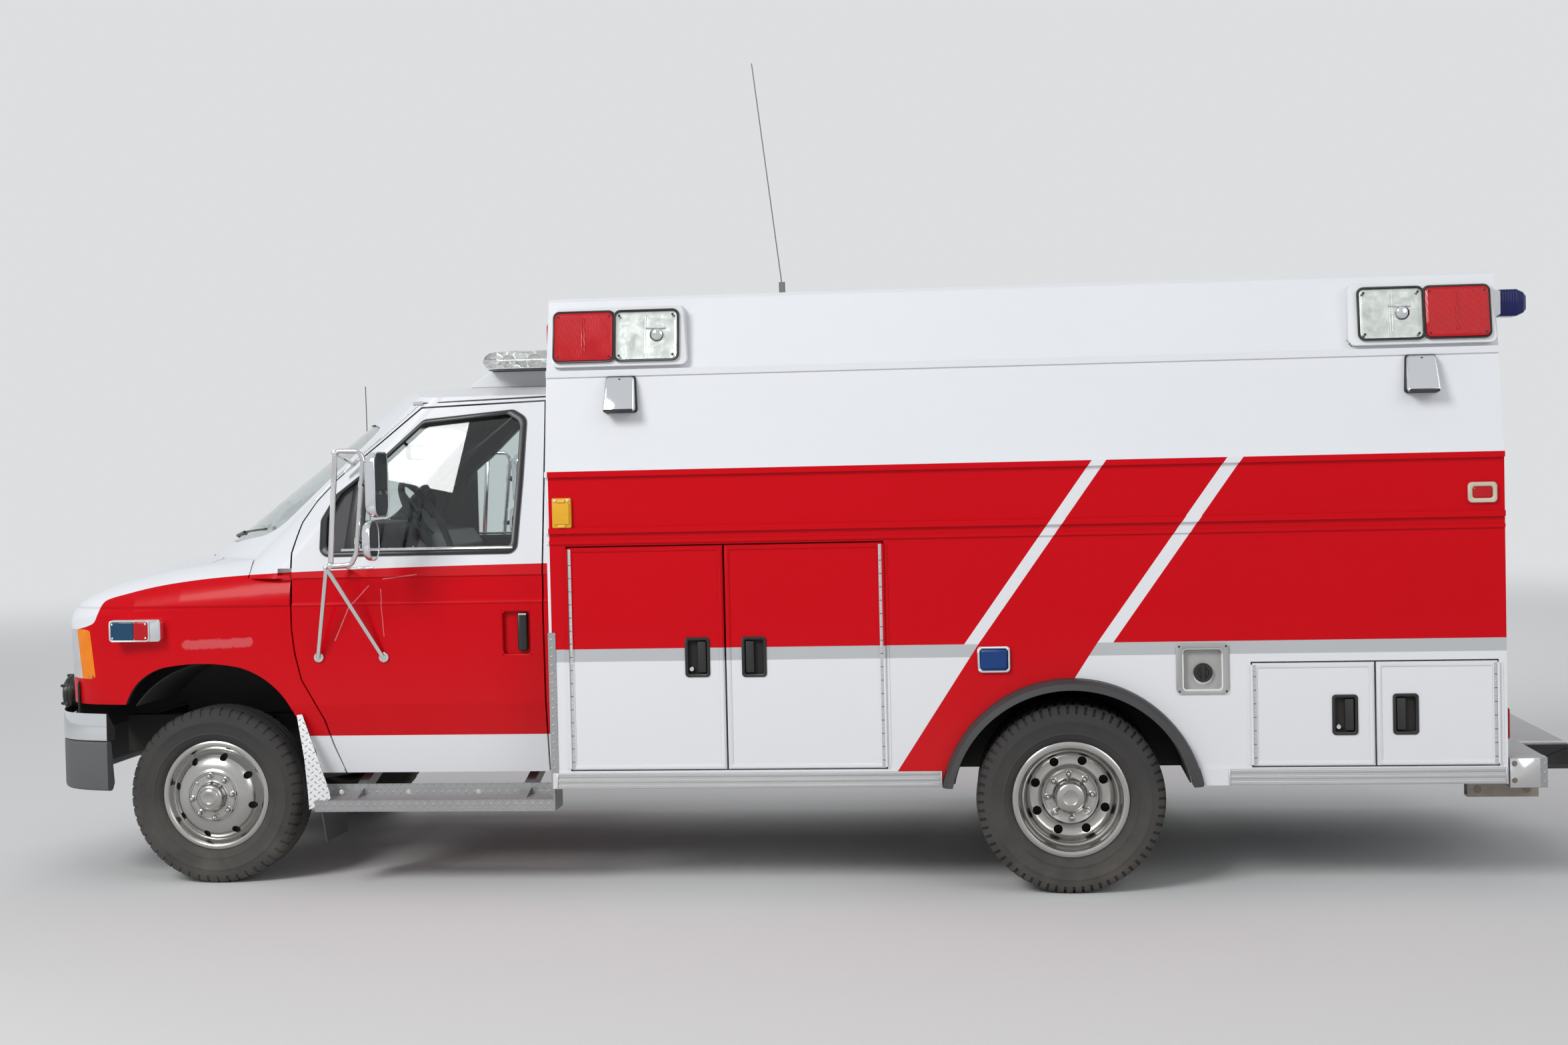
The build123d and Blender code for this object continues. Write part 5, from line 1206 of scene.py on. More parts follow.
def headlamp(name, side):
    """Lens of one headlamp with its two finishes."""
    low_y, high_y = sorted((side * 540, side * 980))
    piece = copy_of("lamp_lenses", name, within(-760, -420, low_y, high_y, 800, 1100), fluted, lens_amber)
    rearward = Vector((0, 1, 0)).cross(split_high - split_low).normalized()
    pick_faces(piece, lambda place, normal: True)
    bpy.ops.mesh.bisect(plane_co=split_low, plane_no=rearward)
    bpy.ops.object.mode_set(mode="OBJECT")
    for polygon in piece.data.polygons:
        is_behind = (polygon.center - split_low).dot(rearward) > 0
        polygon.material_index = 1 if is_behind else 0
    return piece


for name, side in (("headlamp_left", -1), ("headlamp_right", 1)):
    piece = hang(headlamp(name, side), "chassis", "lens_plastic", "lamp_lenses")
    print(name, "faces", len(piece.data.polygons))

# %% [markdown]
# On each fender stands a small warning lamp: a bright body with rounded ends, a thin bezel, a blue lens in
# front and a red one behind it. Two black driving lamps with clipped covers stand on the bumper. They are
# turned forms.

# %% Fender and driving lamps
driving_height, driving_y = 758, -600
clip_count, clip_circle = 6, 76


def fender_lamp():
    """Body, bezel, two lenses and screws on the driver's side."""
    parts = [plate("body", panel(-405, -188, 1010, 1101, 15), -900, -138, chrome, soft=3),
             side_ring("bezel", (-405, -232, 1011, 1100), 7, (14, 10), -1037, -9, silvered, 2)]
    for x0, x1, color in ((-398, -301, lens_dull_blue), (-299, -239, lens_red)):
        parts.append(smooth(plate("lens", panel(x0, x1, 1018, 1093, 8), -1037, -8, color, 5, 2.5), 15))
    return parts + screws(corners_of(-390, -248, 1027, 1084), -1045, 3.5, 4, silvered)


def driving_lamp():
    """Bowl, rim, cover with clips, and foot of the driver's side lamp, facing forward."""
    forward = (-1, 0, 0)
    middle = at(-702, driving_y, driving_height)
    profile = [(0, 0), (0, 20), (14, 42), (34, 66), (54, 75), (76, 78), (82, 74), (86, 70), (90, 60),
               (95, 30), (96, 0)]
    seam = [(62, 74), (62, 79.5), (70, 79.5), (70, 74), (62, 74)]
    parts = [turned("bowl", middle, forward, profile, black_plastic, 32, 30),
             turned("seam", middle, forward, seam, black_plastic, 32, 30)]
    clip = [(0, 0), (0, 7), (26, 7), (30, 4), (30, 0)]
    for across, up in round_axle(clip_count, clip_circle, 180 / clip_count):
        place = at(-766, driving_y + across, driving_height + up)
        parts.append(turned("clip", place, forward, clip, black_plastic, 8))
    stud = [(0, 0), (0, 7), (8, 7), (11, 4), (11, 0)]
    foot = [(-742, 690), (-712, 700), (-694, 726), (-690, 640), (-716, 640)]
    return parts + [turned("stud", at(-797, driving_y, driving_height + 4), forward, stud, chrome, 12),
                    plate("foot", rounded(foot, 5), driving_y - 14, 28, black_plastic, soft=2)]


front_left = join("front_lamps_left", *fender_lamp(), *driving_lamp())
hang_pair(front_left, "chassis", "chrome", "lamp_housings", "lamp_lenses")
print("front lamp faces", len(front_left.data.polygons))

# %% [markdown]
# The light bar is a clear dome over a row of round reflectors. The dome is built up in steps from its foot:
# it widens to the moulded seam and closes above it. The bar's own foot is a copy of the CAD foot, which
# already follows the crown of the roof.

# %% Light bar
bar_glass = rib(new_material("light bar glass", Base_Color=(0.95, 0.96, 0.95, 1), Roughness=0.05, IOR=1.06,
                             Transmission_Weight=1.0, Coat_Weight=0.35), 0.03, 0.15, 0.001)
bar_front, bar_rear, bar_half = 1068, 1444, 609
seam_height, reflector_height = 2147, 2142


def bar_plan(z, inset, corner):
    """The bar's outline from above, drawn in by an inset."""
    half = bar_half - inset
    return on_level(panel(bar_front + inset, bar_rear - inset, -half, half, corner, 8), z)


dome_steps = [((0, 0, 15), (1.06, 1.02, 1)), ((0, 0, 17), (1.05, 1.02, 1)), ((0, 0, 6), (1, 1, 1)),
              ((0, 0, 20), (0.965, 0.975, 1)), ((0, 0, 14), (0.93, 0.96, 1)), ((0, 0, 7), (0.86, 0.93, 1)),
              ((0, 0, 2.5), (0.8, 0.93, 1))]
seam_low = seam_height - 2
bar_parts = [build_up("dome", bar_plan(2112, 20, 80), dome_steps, bar_glass, 25),
             ring("seam", bar_plan(seam_low, 0, 95), bar_plan(seam_low, 9, 86), (0, 0, 4), silvered, 1),
             slab("gasket", bar_plan(2108.4, 22, 78), (0, 0, 4), black_plastic),
             slab("tray", bar_plan(2113, 30, 74), (0, 0, 5), white_plastic, soft=1)]
bowl = [(0, 3), (6, 14), (16, 24), (28, 29), (28, 31), (14, 27), (0, 10)]
reflectors = [(x, -480 + 120 * row, (aim, 0, 0)) for row in range(9) for x, aim in ((1150, -1), (1380, 1))]
reflectors += [(x, side * 545, (0, side, 0)) for x in (1190, 1300) for side in (-1, 1)]
for x, y, aim in reflectors:
    bar_parts.append(turned("bowl", at(x, y, reflector_height), aim, bowl, silvered, 16, 50))
bar_parts.append(slab("divider", on_level(panel(1262, 1272, -540, 540, 3, 2), 2118), (0, 0, 50),
                      white_plastic))
light_bar = hang(join("light_bar", *bar_parts), "chassis", "lens_plastic", "lamp_lenses")
foot = copy_of("lamp_housings", "light_bar_foot", within(950, 1430, -500, 500, 1980, 2115), white_plastic)
hang(soften(foot, 5, 3, 30), "chassis", "lamp_white", "lamp_housings")
print("light bar faces", len(light_bar.data.polygons))

# %% [markdown]
# The box carries two red lamps high on its front face, two deep blue ones high on its rear face, and a tail
# lamp panel with a red, an amber and a clear lens low on each side of the rear doors.

# %% End lamps
tail_spans = [(972, 1092, lens_red), (844, 962, lens_amber), (708, 834, fluted)]
box_front, box_rear = 1467.7, 5147.3


def tail_lamp(y0, y1, color):
    """Rim, lens and two screws of one part of the tail lamp panel."""
    rim = ring("rim", on_end(panel(-y1, -y0, 566, 694, 10), box_rear + 13),
               on_end(panel(-y1 + 6, -y0 - 6, 572, 688, 6), box_rear + 13), (6, 0, 0), black_plastic, 1.5)
    lit = slab("lens", on_end(panel(-y1 + 5, -y0 - 5, 571, 689, 7), box_rear + 12), (13, 0, 0), color, 7, 4)
    heads = [stub("screw", at(box_rear + 26, -(y0 + y1) / 2, z), (4, 0, 0), 4, silvered, 10)
             for z in (580, 680)]
    return [rim, smooth(lit, 15), *heads]


def end_lamps():
    """Front, rear and tail lamps on the driver's side."""
    red = slab("lens", on_end(panel(-850, -630, 2140, 2280, 16), box_front - 28), (-18, 0, 0), lens_red, 8, 5)
    wedge = [(box_rear + 0.3, 2188), (5168, 2188), (5189, 2200), (5189, 2290), (box_rear + 0.3, 2298)]
    steps = [((64, 0, 0), (1, 1, 1)), ((26, 0, 0), (1, 0.8, 0.78)), ((12, 0, 0), (1, 0.72, 0.7))]
    base = on_end(panel(-860, -620, 2130, 2290, 18), box_front - 0.3)
    parts = [slab("base", base, (-29, 0, 0), white_plastic, soft=4), smooth(red, 15),
             plate("wedge", rounded(wedge, 4), -960, 120, white_plastic, soft=4),
             build_up("lens", on_end(panel(-958, -842, 2191, 2295, 14), 5187), steps, lens_deep_blue, 20),
             stub("screw", at(5252, -900, 2293), (0, 0, 5), 6, silvered, 10),
             slab("plate", on_end(panel(-1100, -700, 560, 700, 12), box_rear + 0.3), (13, 0, 0),
                  grey_moulding, soft=3)]
    for row in tail_spans:
        parts += tail_lamp(*row)
    return parts


ends_left = join("end_lamps_left", *end_lamps())
hang_pair(ends_left, "chassis", "lens_plastic", "lamp_housings", "lamp_lenses")
print("end lamp faces", len(ends_left.data.polygons))

# %% [markdown]
# The mirrors hang on bent bright tubes. A tube is a line of a few points whose corners are rounded, given a
# round bevel as a curve and made a mesh. Each head is a chromed shell built up from its rim, with a mirror
# plate let in behind. The left set is modelled and the right one is its mirror image.

# %% Mirrors
mirror_glass = worn("mirror glass", (0.75, 0.78, 0.8), 0.03, bump=0.0, Blotches=0.1, Blotch_Scale=9.0,
                    Grain=0.0, Dust=0.04, shader_values={"Metallic": 1.0})
mirror_y = -1235
skin_y = -1007


def eased(corners, reaches, steps=6):
    """Points along a line whose inner corners are eased over the distances that a function gives."""
    path = [corners[0]]
    for before, here, after in zip(corners, corners[1:], corners[2:]):
        back, ahead = before - here, after - here
        back_reach, ahead_reach = reaches(back, ahead)
        start, end = here + back.normalized() * back_reach, here + ahead.normalized() * ahead_reach
        for step in range(steps + 1):
            share = step / steps
            path.append(start * (1 - share) ** 2 + here * 2 * share * (1 - share) + end * share ** 2)
    return path + [corners[-1]]


def poly_curve(name, points, closed=False):
    """A curve object with one straight-sided run of points."""
    curve = bpy.data.curves.new(name, "CURVE")
    curve.dimensions = "3D"
    run = curve.splines.new("POLY")
    run.points.add(len(points) - 1)
    for point, place in zip(run.points, points):
        point.co = (*place, 1)
    run.use_cyclic_u = closed
    made = bpy.data.objects.new(name, curve)
    bpy.context.scene.collection.objects.link(made)
    return made


def curve_to_mesh(curve, name, material, angle):
    """Turn a curve with a bevel into a closed mesh with its finish."""
    curve.data.use_fill_caps = True
    activate(curve)
    bpy.ops.object.convert(target="MESH")
    bpy.ops.object.mode_set(mode="EDIT")
    return complete(name, material, curve_gap, angle)


def bent_tube(name, corners, radius, bend, material):
    """A round tube along points in metres, with every inner corner bent."""
    def reaches(back, ahead):
        reach = min(bend * mm / tan(back.angle(ahead) / 2), back.length * 0.45, ahead.length * 0.45)
        return reach, reach

    clear_selection()
    curve = poly_curve(name, eased(corners, reaches))
    curve.data.bevel_depth = radius * mm
    curve.data.bevel_resolution = 3
    return curve_to_mesh(curve, name, material, 50)


def mirror_head(x_glass, depth, z0, z1, half, corner):
    """Chromed shell that bulges forward, its rim and the plate, between two heights."""
    face = on_end(panel(mirror_y - half, mirror_y + half, z0, z1, corner, 7), x_glass)
    inner = on_end(panel(mirror_y - half + 6, mirror_y + half - 6, z0 + 6, z1 - 6, corner - 5, 7), x_glass)
    third = depth / 3
    bulge = [((-third * 0.7, 0, 0), (1, 1, 1)), ((-third, 0, 0), (1, 0.95, 0.97)),
             ((-third * 0.8, 0, 0), (1, 0.86, 0.9)), ((-third * 0.5, 0, 0), (1, 0.6, 0.7))]
    return [build_up("shell", face, bulge, chrome, 60), ring("rim", face, inner, (4, 0, 0), silvered, 1.2),
            slab("plate", inner, (2, 0, 0), mirror_glass)]


def strut(start, end, width, gauge):
    """A flattened tube between two points, its broad side outward."""
    along = (end - start).normalized()
    across = along.cross(Vector((0, 1, 0))).normalized() * width / 2 * mm
    depth = Vector((0, gauge, 0))
    corners = [start - across, start + across, end + across, end - across]
    return slab("strut", [corner - depth * 0.5 * mm for corner in corners], depth, bright_steel, soft=2.5)


pivot, hoop_foot = at(560, -1150, 1306), at(606, mirror_y, 1318)
hoop = [at(x, mirror_y, z)
        for x, z in ((636, 1763), (650, 1774), (735, 1772), (751, 1740), (713, 1366), (690, 1322))]
stay = [at(600, -1020, 1303), at(640, -1100, 1300), at(742, -1110, 1303)]
upper_arm = [at(640, mirror_y, 1762), at(618, -1080, 1748), at(612, -925, 1722)]
mirror_parts = [bent_tube("hoop", [*hoop, hoop_foot], 10, 26, bright_steel),
                strut(at(606, mirror_y, 1322), at(636, mirror_y, 1765), 22, 9),
                strut(at(471, skin_y - 12, 935), pivot, 17, 9),
                strut(at(744, skin_y - 12, 932), pivot, 17, 9),
                bent_tube("low bar", [pivot, hoop_foot], 9, 10, bright_steel),
                bent_tube("cross bar", [at(552, -1120, 1309), at(600, -1010, 1306)], 9, 10, bright_steel),
                bent_tube("stay", stay, 6, 20, bright_steel),
                bent_tube("upper arm", upper_arm, 8, 40, bright_steel)]
bolt = [(0, 0), (0, 12), (3, 12), (4, 8), (10, 8), (12, 5), (12, 0)]
for x, y, z in ((606, mirror_y - 8, 1320), (636, mirror_y - 8, 1766), (560, -1158, 1306)):
    mirror_parts.append(turned("bolt", at(x, y, z), (0, -1, 0), bolt, chrome, 12))
foot = [(0, 0), (0, 21), (5, 20), (7, 14), (7, 9), (13, 9), (15, 6), (15, 0)]
for x, z in ((471, 935), (744, 932)):
    mirror_parts.append(turned("foot", at(x, skin_y - 0.5, z), (0, -1, 0), foot, bright_steel, 20))
mirror_parts += mirror_head(820, 50, 1508, 1767, 94, 46)
mirror_parts += mirror_head(784, 36, 1336, 1497, 68, 60)
for x0, x1, z, radius in ((744, 772, 1640, 11), (722, 752, 1415, 9)):
    ball = [(0, 0), (0, radius), ((x1 - x0) * 0.5, radius * 1.3), (x1 - x0, radius), (x1 - x0, 0)]
    mirror_parts.append(turned("ball", at(x0, mirror_y, z), (1, 0, 0), ball, black_plastic, 12))
collar = [(-12, 0), (-12, 13), (12, 13), (12, 0)]
for z in (1640, 1415, 1700):
    middle = 713 + (z - 1366) * 0.102
    mirror_parts.append(turned("collar", at(middle, mirror_y, z), (0.1, 0, 1), collar, bright_steel, 12))
bracket = [(567, 1681), (620, 1720), (636, 1738), (622, 1745), (600, 1722), (573, 1694)]
mirror_parts.append(plate("bracket", rounded(bracket, 4), -926, 22, bright_steel, soft=2))
mirror_left = join("mirrors_left", *mirror_parts)
hang_pair(mirror_left, "cab_door_{}", "mirror_steel", "mirror_{}")
print("mirror faces", len(mirror_left.data.polygons))

# %% [markdown]
# The door window is framed by a black rubber seal with a bright strip along its foot, and a black upright
# parts off the small front pane, which is dark. The seal is a ring drawn on the leaning upper door. The
# recess of the door handle holds a black pull lever, and the lock sits below it.

# %% Cab door trim
# The glass house at two heights, columns: height, half width, start of the pillar's corner, its end,
# half width there
house_low, house_high = (1300, 990, 330, 118, 860), (2000, 832, 985, 838, 742)
# The middle point of the pillar's corner stands off the straight line by these distances, forward and outward
corner_forward, corner_outward = 38, 14


def door_skin(x, z):
    """Half width of the cab's leaning side at a place, on the flat or on the round pillar ahead of it."""
    share = (z - house_low[0]) / (house_high[0] - house_low[0])
    half, start, corner, corner_half = [a + (b - a) * share for a, b in zip(house_low[1:], house_high[1:])]
    if x >= start:
        return half
    ax, ay, cx, cy = start, half, corner, corner_half
    bx, by = (start + corner) / 2 - corner_forward, (half + corner_half) / 2 + corner_outward
    turn = 2 * (ax * (by - cy) + bx * (cy - ay) + cx * (ay - by))
    a2, b2, c2 = ax * ax + ay * ay, bx * bx + by * by, cx * cx + cy * cy
    mx = (a2 * (by - cy) + b2 * (cy - ay) + c2 * (ay - by)) / turn
    my = (a2 * (cx - bx) + b2 * (ax - cx) + c2 * (bx - ax)) / turn
    return my + sqrt(max((ax - mx) ** 2 + (ay - my) ** 2 - (x - mx) ** 2, 0))


def on_door(outline, beyond):
    """An (x, z) outline as points on the leaning side, a little further out."""
    return [at(x, -(door_skin(x, z) + beyond), z) for x, z in outline]


def sized(outline, share):
    """An outline scaled about the middle of its box."""
    xs, zs = [x for x, z in outline], [z for x, z in outline]
    mx, mz = (min(xs) + max(xs)) / 2, (min(zs) + max(zs)) / 2
    return [(mx + (x - mx) * share, mz + (z - mz) * share) for x, z in outline]


def window_ring(name, outer, inner, beyond, pull, material, soft=0.0):
    """A ring round the door window, between two sizes of its outline."""
    return ring(name, on_door(sized(window, outer), beyond), on_door(sized(window, inner), beyond),
                (0, pull, 0), material, soft)


window = rounded([(486, 1352), (486, 1500), (540, 1600), (735, 1748), (895, 1893), (1262, 1925), (1318, 1890),
                  (1308, 1646), (1290, 1352)], 40, 6)
pane = rounded([(494, 1362), (494, 1500), (547, 1602), (612, 1652), (580, 1362)], 8)
run = rounded([(574, 1362), (606, 1648), (668, 1696), (650, 1362)], 3)
strip = rounded([(566, 1366), (566, 1377), (1284, 1377), (1284, 1366)], 2)
lock = [(0, 0), (0, 14), (2.5, 13), (3.5, 9), (2.5, 0)]
trim = [window_ring("seal", 1.022, 0.958, -1, -5, black_plastic, 1.5),
        window_ring("edge", 1.030, 1.020, -1, -3.5, grey_moulding),
        window_ring("lining", 0.99, 0.962, 1, 26, black_plastic),
        slab("pane", on_door(pane, -22), (0, 8, 0), dash_plastic),
        slab("run", on_door(run, -20), (0, -14, 0), black_plastic, soft=3),
        slab("strip", on_door(strip, 2), (0, -5, 0), bright_steel, soft=1.5),
        side_ring("pull rim", (1232, 1362, 930, 1119), 8, (22, 16), -1001.5, -3, paint, 1.2),
        plate("lever", panel(1300, 1340, 950, 1104, 12), -978, -23, black_plastic, soft=5),
        plate("lever edge", panel(1304, 1338, 1096, 1103, 3, 2), -999, -4, bright_steel),
        turned("lock", at(1329, -1001, 898), (0, -1, 0), lock, chrome, 16)]
trim_left = join("cab_door_trim_left", *trim)
hang_pair(trim_left, "cab_door_{}", "liner_plastic")

pillar_line = on_door(((428, 1576), (505, 1668), (604, 1745), (708, 1826), (862, 1957)), 3)
roof_trim = [bent_tube("pillar line", pillar_line, 4, 60, bright_steel),
             bent_tube("gutter", on_door(((890, 1967), (1460, 1984)), 1), 3.5, 5, black_plastic),
             slab("clamp", on_door(panel(838, 888, 1962, 1976, 4), 0), (0, -13, 0), chrome, soft=2)]
hang_pair(join("roof_trim_left", *roof_trim), "chassis", "chrome")
print("door trim faces", len(trim_left.data.polygons))

# %% [markdown]
# Two black wipers lie along the foot of the windscreen. Their places on the curved glass come from its width
# at that height, so both follow the curve. The rear-view mirror hangs from the glass on a bent stalk.

# %% Wipers and rear-view mirror


def screen_x(y, z):
    """Place of the windscreen's outer face, half way across or nearer to a pillar."""
    share = (z - 1300) / 700
    corner, half, middle = 118 + 720 * share, 860 - 118 * share, -317 + 927 * share
    return middle + (corner - middle) * (y / half) ** 2


def on_screen(pivot_y, tip_y, places):
    """Points along a wiper, from (share of its length, height, distance off the glass)."""
    made = []
    for share, z, out in places:
        y = pivot_y + (tip_y - pivot_y) * share
        made.append(at(screen_x(y, z) - out, y, z))
    return made


arm = [(0, 1408, 14), (0.2, 1418, 22), (0.6, 1440, 20)]
blade = [(0.15, 1424, 9), (0.4, 1433, 9), (0.6, 1440, 9), (0.8, 1448, 9), (1, 1457, 9)]
cap = [(0, 0), (0, 17), (14, 15), (20, 9), (21, 0)]
wiper_parts = []
for pivot_y, tip_y in ((-110, -690), (480, -60)):
    foot = at(screen_x(pivot_y, 1408) + 2, pivot_y, 1408)
    wiper_parts += [bent_tube("arm", on_screen(pivot_y, tip_y, arm), 6, 40, black_plastic),
                    bent_tube("blade", on_screen(pivot_y, tip_y, blade), 5, 90, black_plastic),
                    turned("pivot", foot, (-0.75, 0, 0.66), cap, black_plastic, 16)]
hang(join("wipers", *wiper_parts), "chassis", "liner_plastic")
stalk = [at(441, 0, 1866), at(520, 0, 1850), at(598, 0, 1786)]
view_parts = [slab("shell", on_end(panel(-118, 118, 1738, 1806, 22), 596), (26, 0, 0), black_plastic, soft=8),
              slab("plate", on_end(panel(-111, 111, 1745, 1799, 16), 621), (2.5, 0, 0), mirror_glass),
              bent_tube("stalk", stalk, 7, 40, black_plastic)]
hang(join("rear_view_mirror", *view_parts), "chassis", "liner_plastic")
print("wipers and mirror ready")

# %% [markdown]
# The bumper is one section pushed along a line seen from above, chrome over a moulded grey valance. A curve
# with another curve as its bevel does exactly that, and it becomes a mesh at once. The grille is a copy of
# the CAD form with its edges rounded. A dark splash panel closes the room behind the bumper.

# %% Bumper and grille


def swept(name, path, section, material):
    """Push a closed section, as (out, up) in millimetres, along a level line."""
    clear_selection()
    bevel = poly_curve("section", [Vector((out * mm, up * mm, 0)) for out, up in section], True)
    made = poly_curve(name, path)
    made.data.twist_mode = "Z_UP"
    made.data.bevel_mode = "OBJECT"
    made.data.bevel_object = bevel
    piece = curve_to_mesh(made, name, material, 40)
    bpy.data.objects.remove(bevel)
    return piece


bumper_half = [(-749, 0), (-742, 400), (-706, 720), (-640, 880), (-560, 950), (-425, 985)]
bumper_end, bumper_ease = 985, 90
plan = [(x, -y) for x, y in reversed(bumper_half)] + bumper_half[1:]


def bumper_line(z, inset=0):
    """The bumper's outline from above at a height, from the driver's side to the other."""
    corners = [at(x + inset, y * (1 - inset / bumper_end), z) for x, y in plan]
    return eased(corners, lambda *arms: [min(bumper_ease * mm, arm.length * 0.48) for arm in arms])


bar_section = rounded([(0, 0), (4, 22), (4, 46), (-8, 62), (-40, 112), (-50, 116), (-52, 0)], 7, 3)
valance_section = rounded([(0, 30), (-16, 205), (-44, 206), (-44, 0), (-14, 0)], 12, 3)
bar = swept("bar", bumper_line(600, 4), bar_section, chrome)
valance = swept("valance", bumper_line(393), valance_section, grey_moulding)
bumper = hang(join("front_bumper_bar", bar), "chassis", "chrome", "front_bumper")
grille = copy_of("front_mouldings", "grille", within(-700, -630, -570, 570, 790, 1060), grey_moulding)
mouldings = join("front_mouldings_round", soften(grille, 3, 2, 50), valance)
hang(mouldings, "chassis", "grey_moulding", "front_mouldings")
splash = slab("splash_panel", on_end(panel(-905, 905, 610, 845, 30), -612), (8, 0, 0), liner_plastic, soft=3)
hang(splash, "chassis", "liner_plastic")
print("bumper faces", len(bumper.data.polygons), len(mouldings.data.polygons))

# %% [markdown]
# Raised lozenges run over every tread plate, half of them along one diagonal and half along the other.
# Squares of a turned grid carry one lozenge each, and the sum of the two square numbers picks its direction.
# The height goes only into the bump, because the lozenges are about a millimetre high.

# %% Tread pattern
# A lozenge falls off this many times faster across than along, and its height fades at this rate
slimness, lozenge_fade = 3.5, 2.1
lozenges, took, gave = bare_group("lozenges", [("Pitch", "value", 0.03)], [("Height", "value")])
lane = add(lozenges, "ShaderNodeSeparateXYZ", Vector=position(lozenges)).outputs
across = calc(lozenges, "ADD", lane["Y"], lane["Z"])
first, second = [calc(lozenges, "DIVIDE", calc(lozenges, operation, lane["X"], across), took["Pitch"])
                 for operation in ("ADD", "SUBTRACT")]
squares = calc(lozenges, "ADD", calc(lozenges, "FLOOR", first), calc(lozenges, "FLOOR", second))
is_odd = calc(lozenges, "PINGPONG", squares, 1.0)
is_even = calc(lozenges, "SUBTRACT", 1.0, is_odd)
along, aside = [calc(lozenges, "ABSOLUTE", calc(lozenges, "SUBTRACT", calc(lozenges, "FRACT", value), 0.5))
                for value in (first, second)]
one = calc(lozenges, "ADD", along, calc(lozenges, "MULTIPLY", aside, slimness))
other = calc(lozenges, "ADD", aside, calc(lozenges, "MULTIPLY", along, slimness))
spread = calc(lozenges, "ADD", calc(lozenges, "MULTIPLY", one, is_even),
              calc(lozenges, "MULTIPLY", other, is_odd))
raised = calc(lozenges, "SUBTRACT", 1.0, calc(lozenges, "MULTIPLY", spread, lozenge_fade), clamp=True)
lozenges.links.new(raised, gave["Height"])
bump_into(tread_plate, use_group(tread_plate.node_tree, lozenges, Pitch=0.034).outputs["Height"], 0.8, 0.002)
print("lozenge nodes:", len(lozenges.nodes))

# %% [markdown]
# Each locker door has a paddle latch let into the skin: a black frame round a dark dish, with the paddle on
# the side that is pulled and a small lock on some. A latch is drawn for the driver's side. For a door on the
# other side the joined piece is mirrored, and every latch rides on its own door.

# %% Door latches
skin = -(box_half + 0.2)
# Latches, columns: door's body, front edge, rear edge, low edge, high edge, paddle at the rear, with a lock
left_latches = [("left_locker_door_1", 2018, 2103, 860, 1003, True, True),
                ("left_locker_door_2", 2243, 2327, 858, 1003, False, False),
                ("left_locker_door_3", 4505, 4588, 610, 751, True, True),
                ("left_locker_door_4", 4731, 4813, 610, 753, False, False)]
right_latches = [("right_locker_door_1", 1842, 1925, 860, 1003, True, True),
                 ("entry_door", 2700, 2784, 960, 1110, True, True),
                 ("right_locker_door_2", 4222, 4305, 610, 751, False, True)]


def latch(name, x0, x1, z0, z1, is_rear, has_lock):
    """Frame, dish, paddle and lock on the driver's side."""
    rim, wall = (x0 - 7, x1 + 7, z0 - 7, z1 + 7), (x0 + 0.5, x1 - 0.5, z0 + 0.5, z1 - 0.5)
    middle = x1 - 25 if is_rear else x0 + 25
    paddle = panel(middle - 17, middle + 17, z0 + 10, z1 - 10, 5)
    parts = [side_ring("frame", rim, 12, (14, 7), skin, -4.5, black_plastic, 1.8),
             plate("dish", panel(x0 + 1, x1 - 1, z0 + 1, z1 - 1, 6), skin + 17, 4, liner_plastic),
             side_ring("wall", wall, 4.5, (7, 7), skin + 18, -18, black_plastic),
             plate("paddle", paddle, skin + 12, -13, black_plastic, 4, 1.5, 2)]
    if has_lock:
        place = at(x0 + 18 if is_rear else x1 - 18, skin + 14, z0 + 24)
        barrel = [(0, 0), (0, 10), (9, 10), (11, 8), (11, 3), (9, 0)]
        parts.append(turned("lock", place, (0, -1, 0), barrel, chrome, 16))
    return join(name, *parts)


def hang_on_doors(make, left_rows, right_rows, ending, slot):
    """Draw a piece for each door, and mirror it for the doors on the other side."""
    for body, *sizes in left_rows:
        hang(make(body + ending, *sizes), body, slot)
    for body, *sizes in right_rows:
        hang_mirrored(make("drawn", *sizes), body + ending, body, slot)
    print("pieces with the ending", ending, len(left_rows) + len(right_rows))


hang_on_doors(latch, left_latches, right_latches, "_latch", "liner_plastic")

# %% [markdown]
# Every locker door is a folded pan, so a shallow raised border runs round it, and a bright hinge strip closes
# the hinged side. The borders are rings in the paint of the body, which reads its bands from place, and the
# strips have dark cuts at even distances between the knuckles.

# %% Door borders and hinges
# Doors, columns: body, front edge, rear edge, low edge, high edge, middle of the hinge strip
left_pans = [("left_locker_door_1", 1549, 2167, 490, 1370, 1556),
             ("left_locker_door_2", 2175, 2794, 490, 1370, 2787),
             ("left_locker_door_3", 4202, 4657, 487, 881, 4209),
             ("left_locker_door_4", 4665, 5112, 487, 881, 5105)]
right_pans = [("right_locker_door_1", 1549, 1940, 490, 1370, 1556),
              ("right_locker_door_2", 4202, 5112, 487, 881, 5105)]
knuckle_pitch = 52
satin = worn("satin aluminium", (0.6, 0.605, 0.61), 0.35, bump=0.05, Blotches=0.15, Dust=0.2, Dust_Height=0.9,
             shader_values={"Metallic": 0.7})


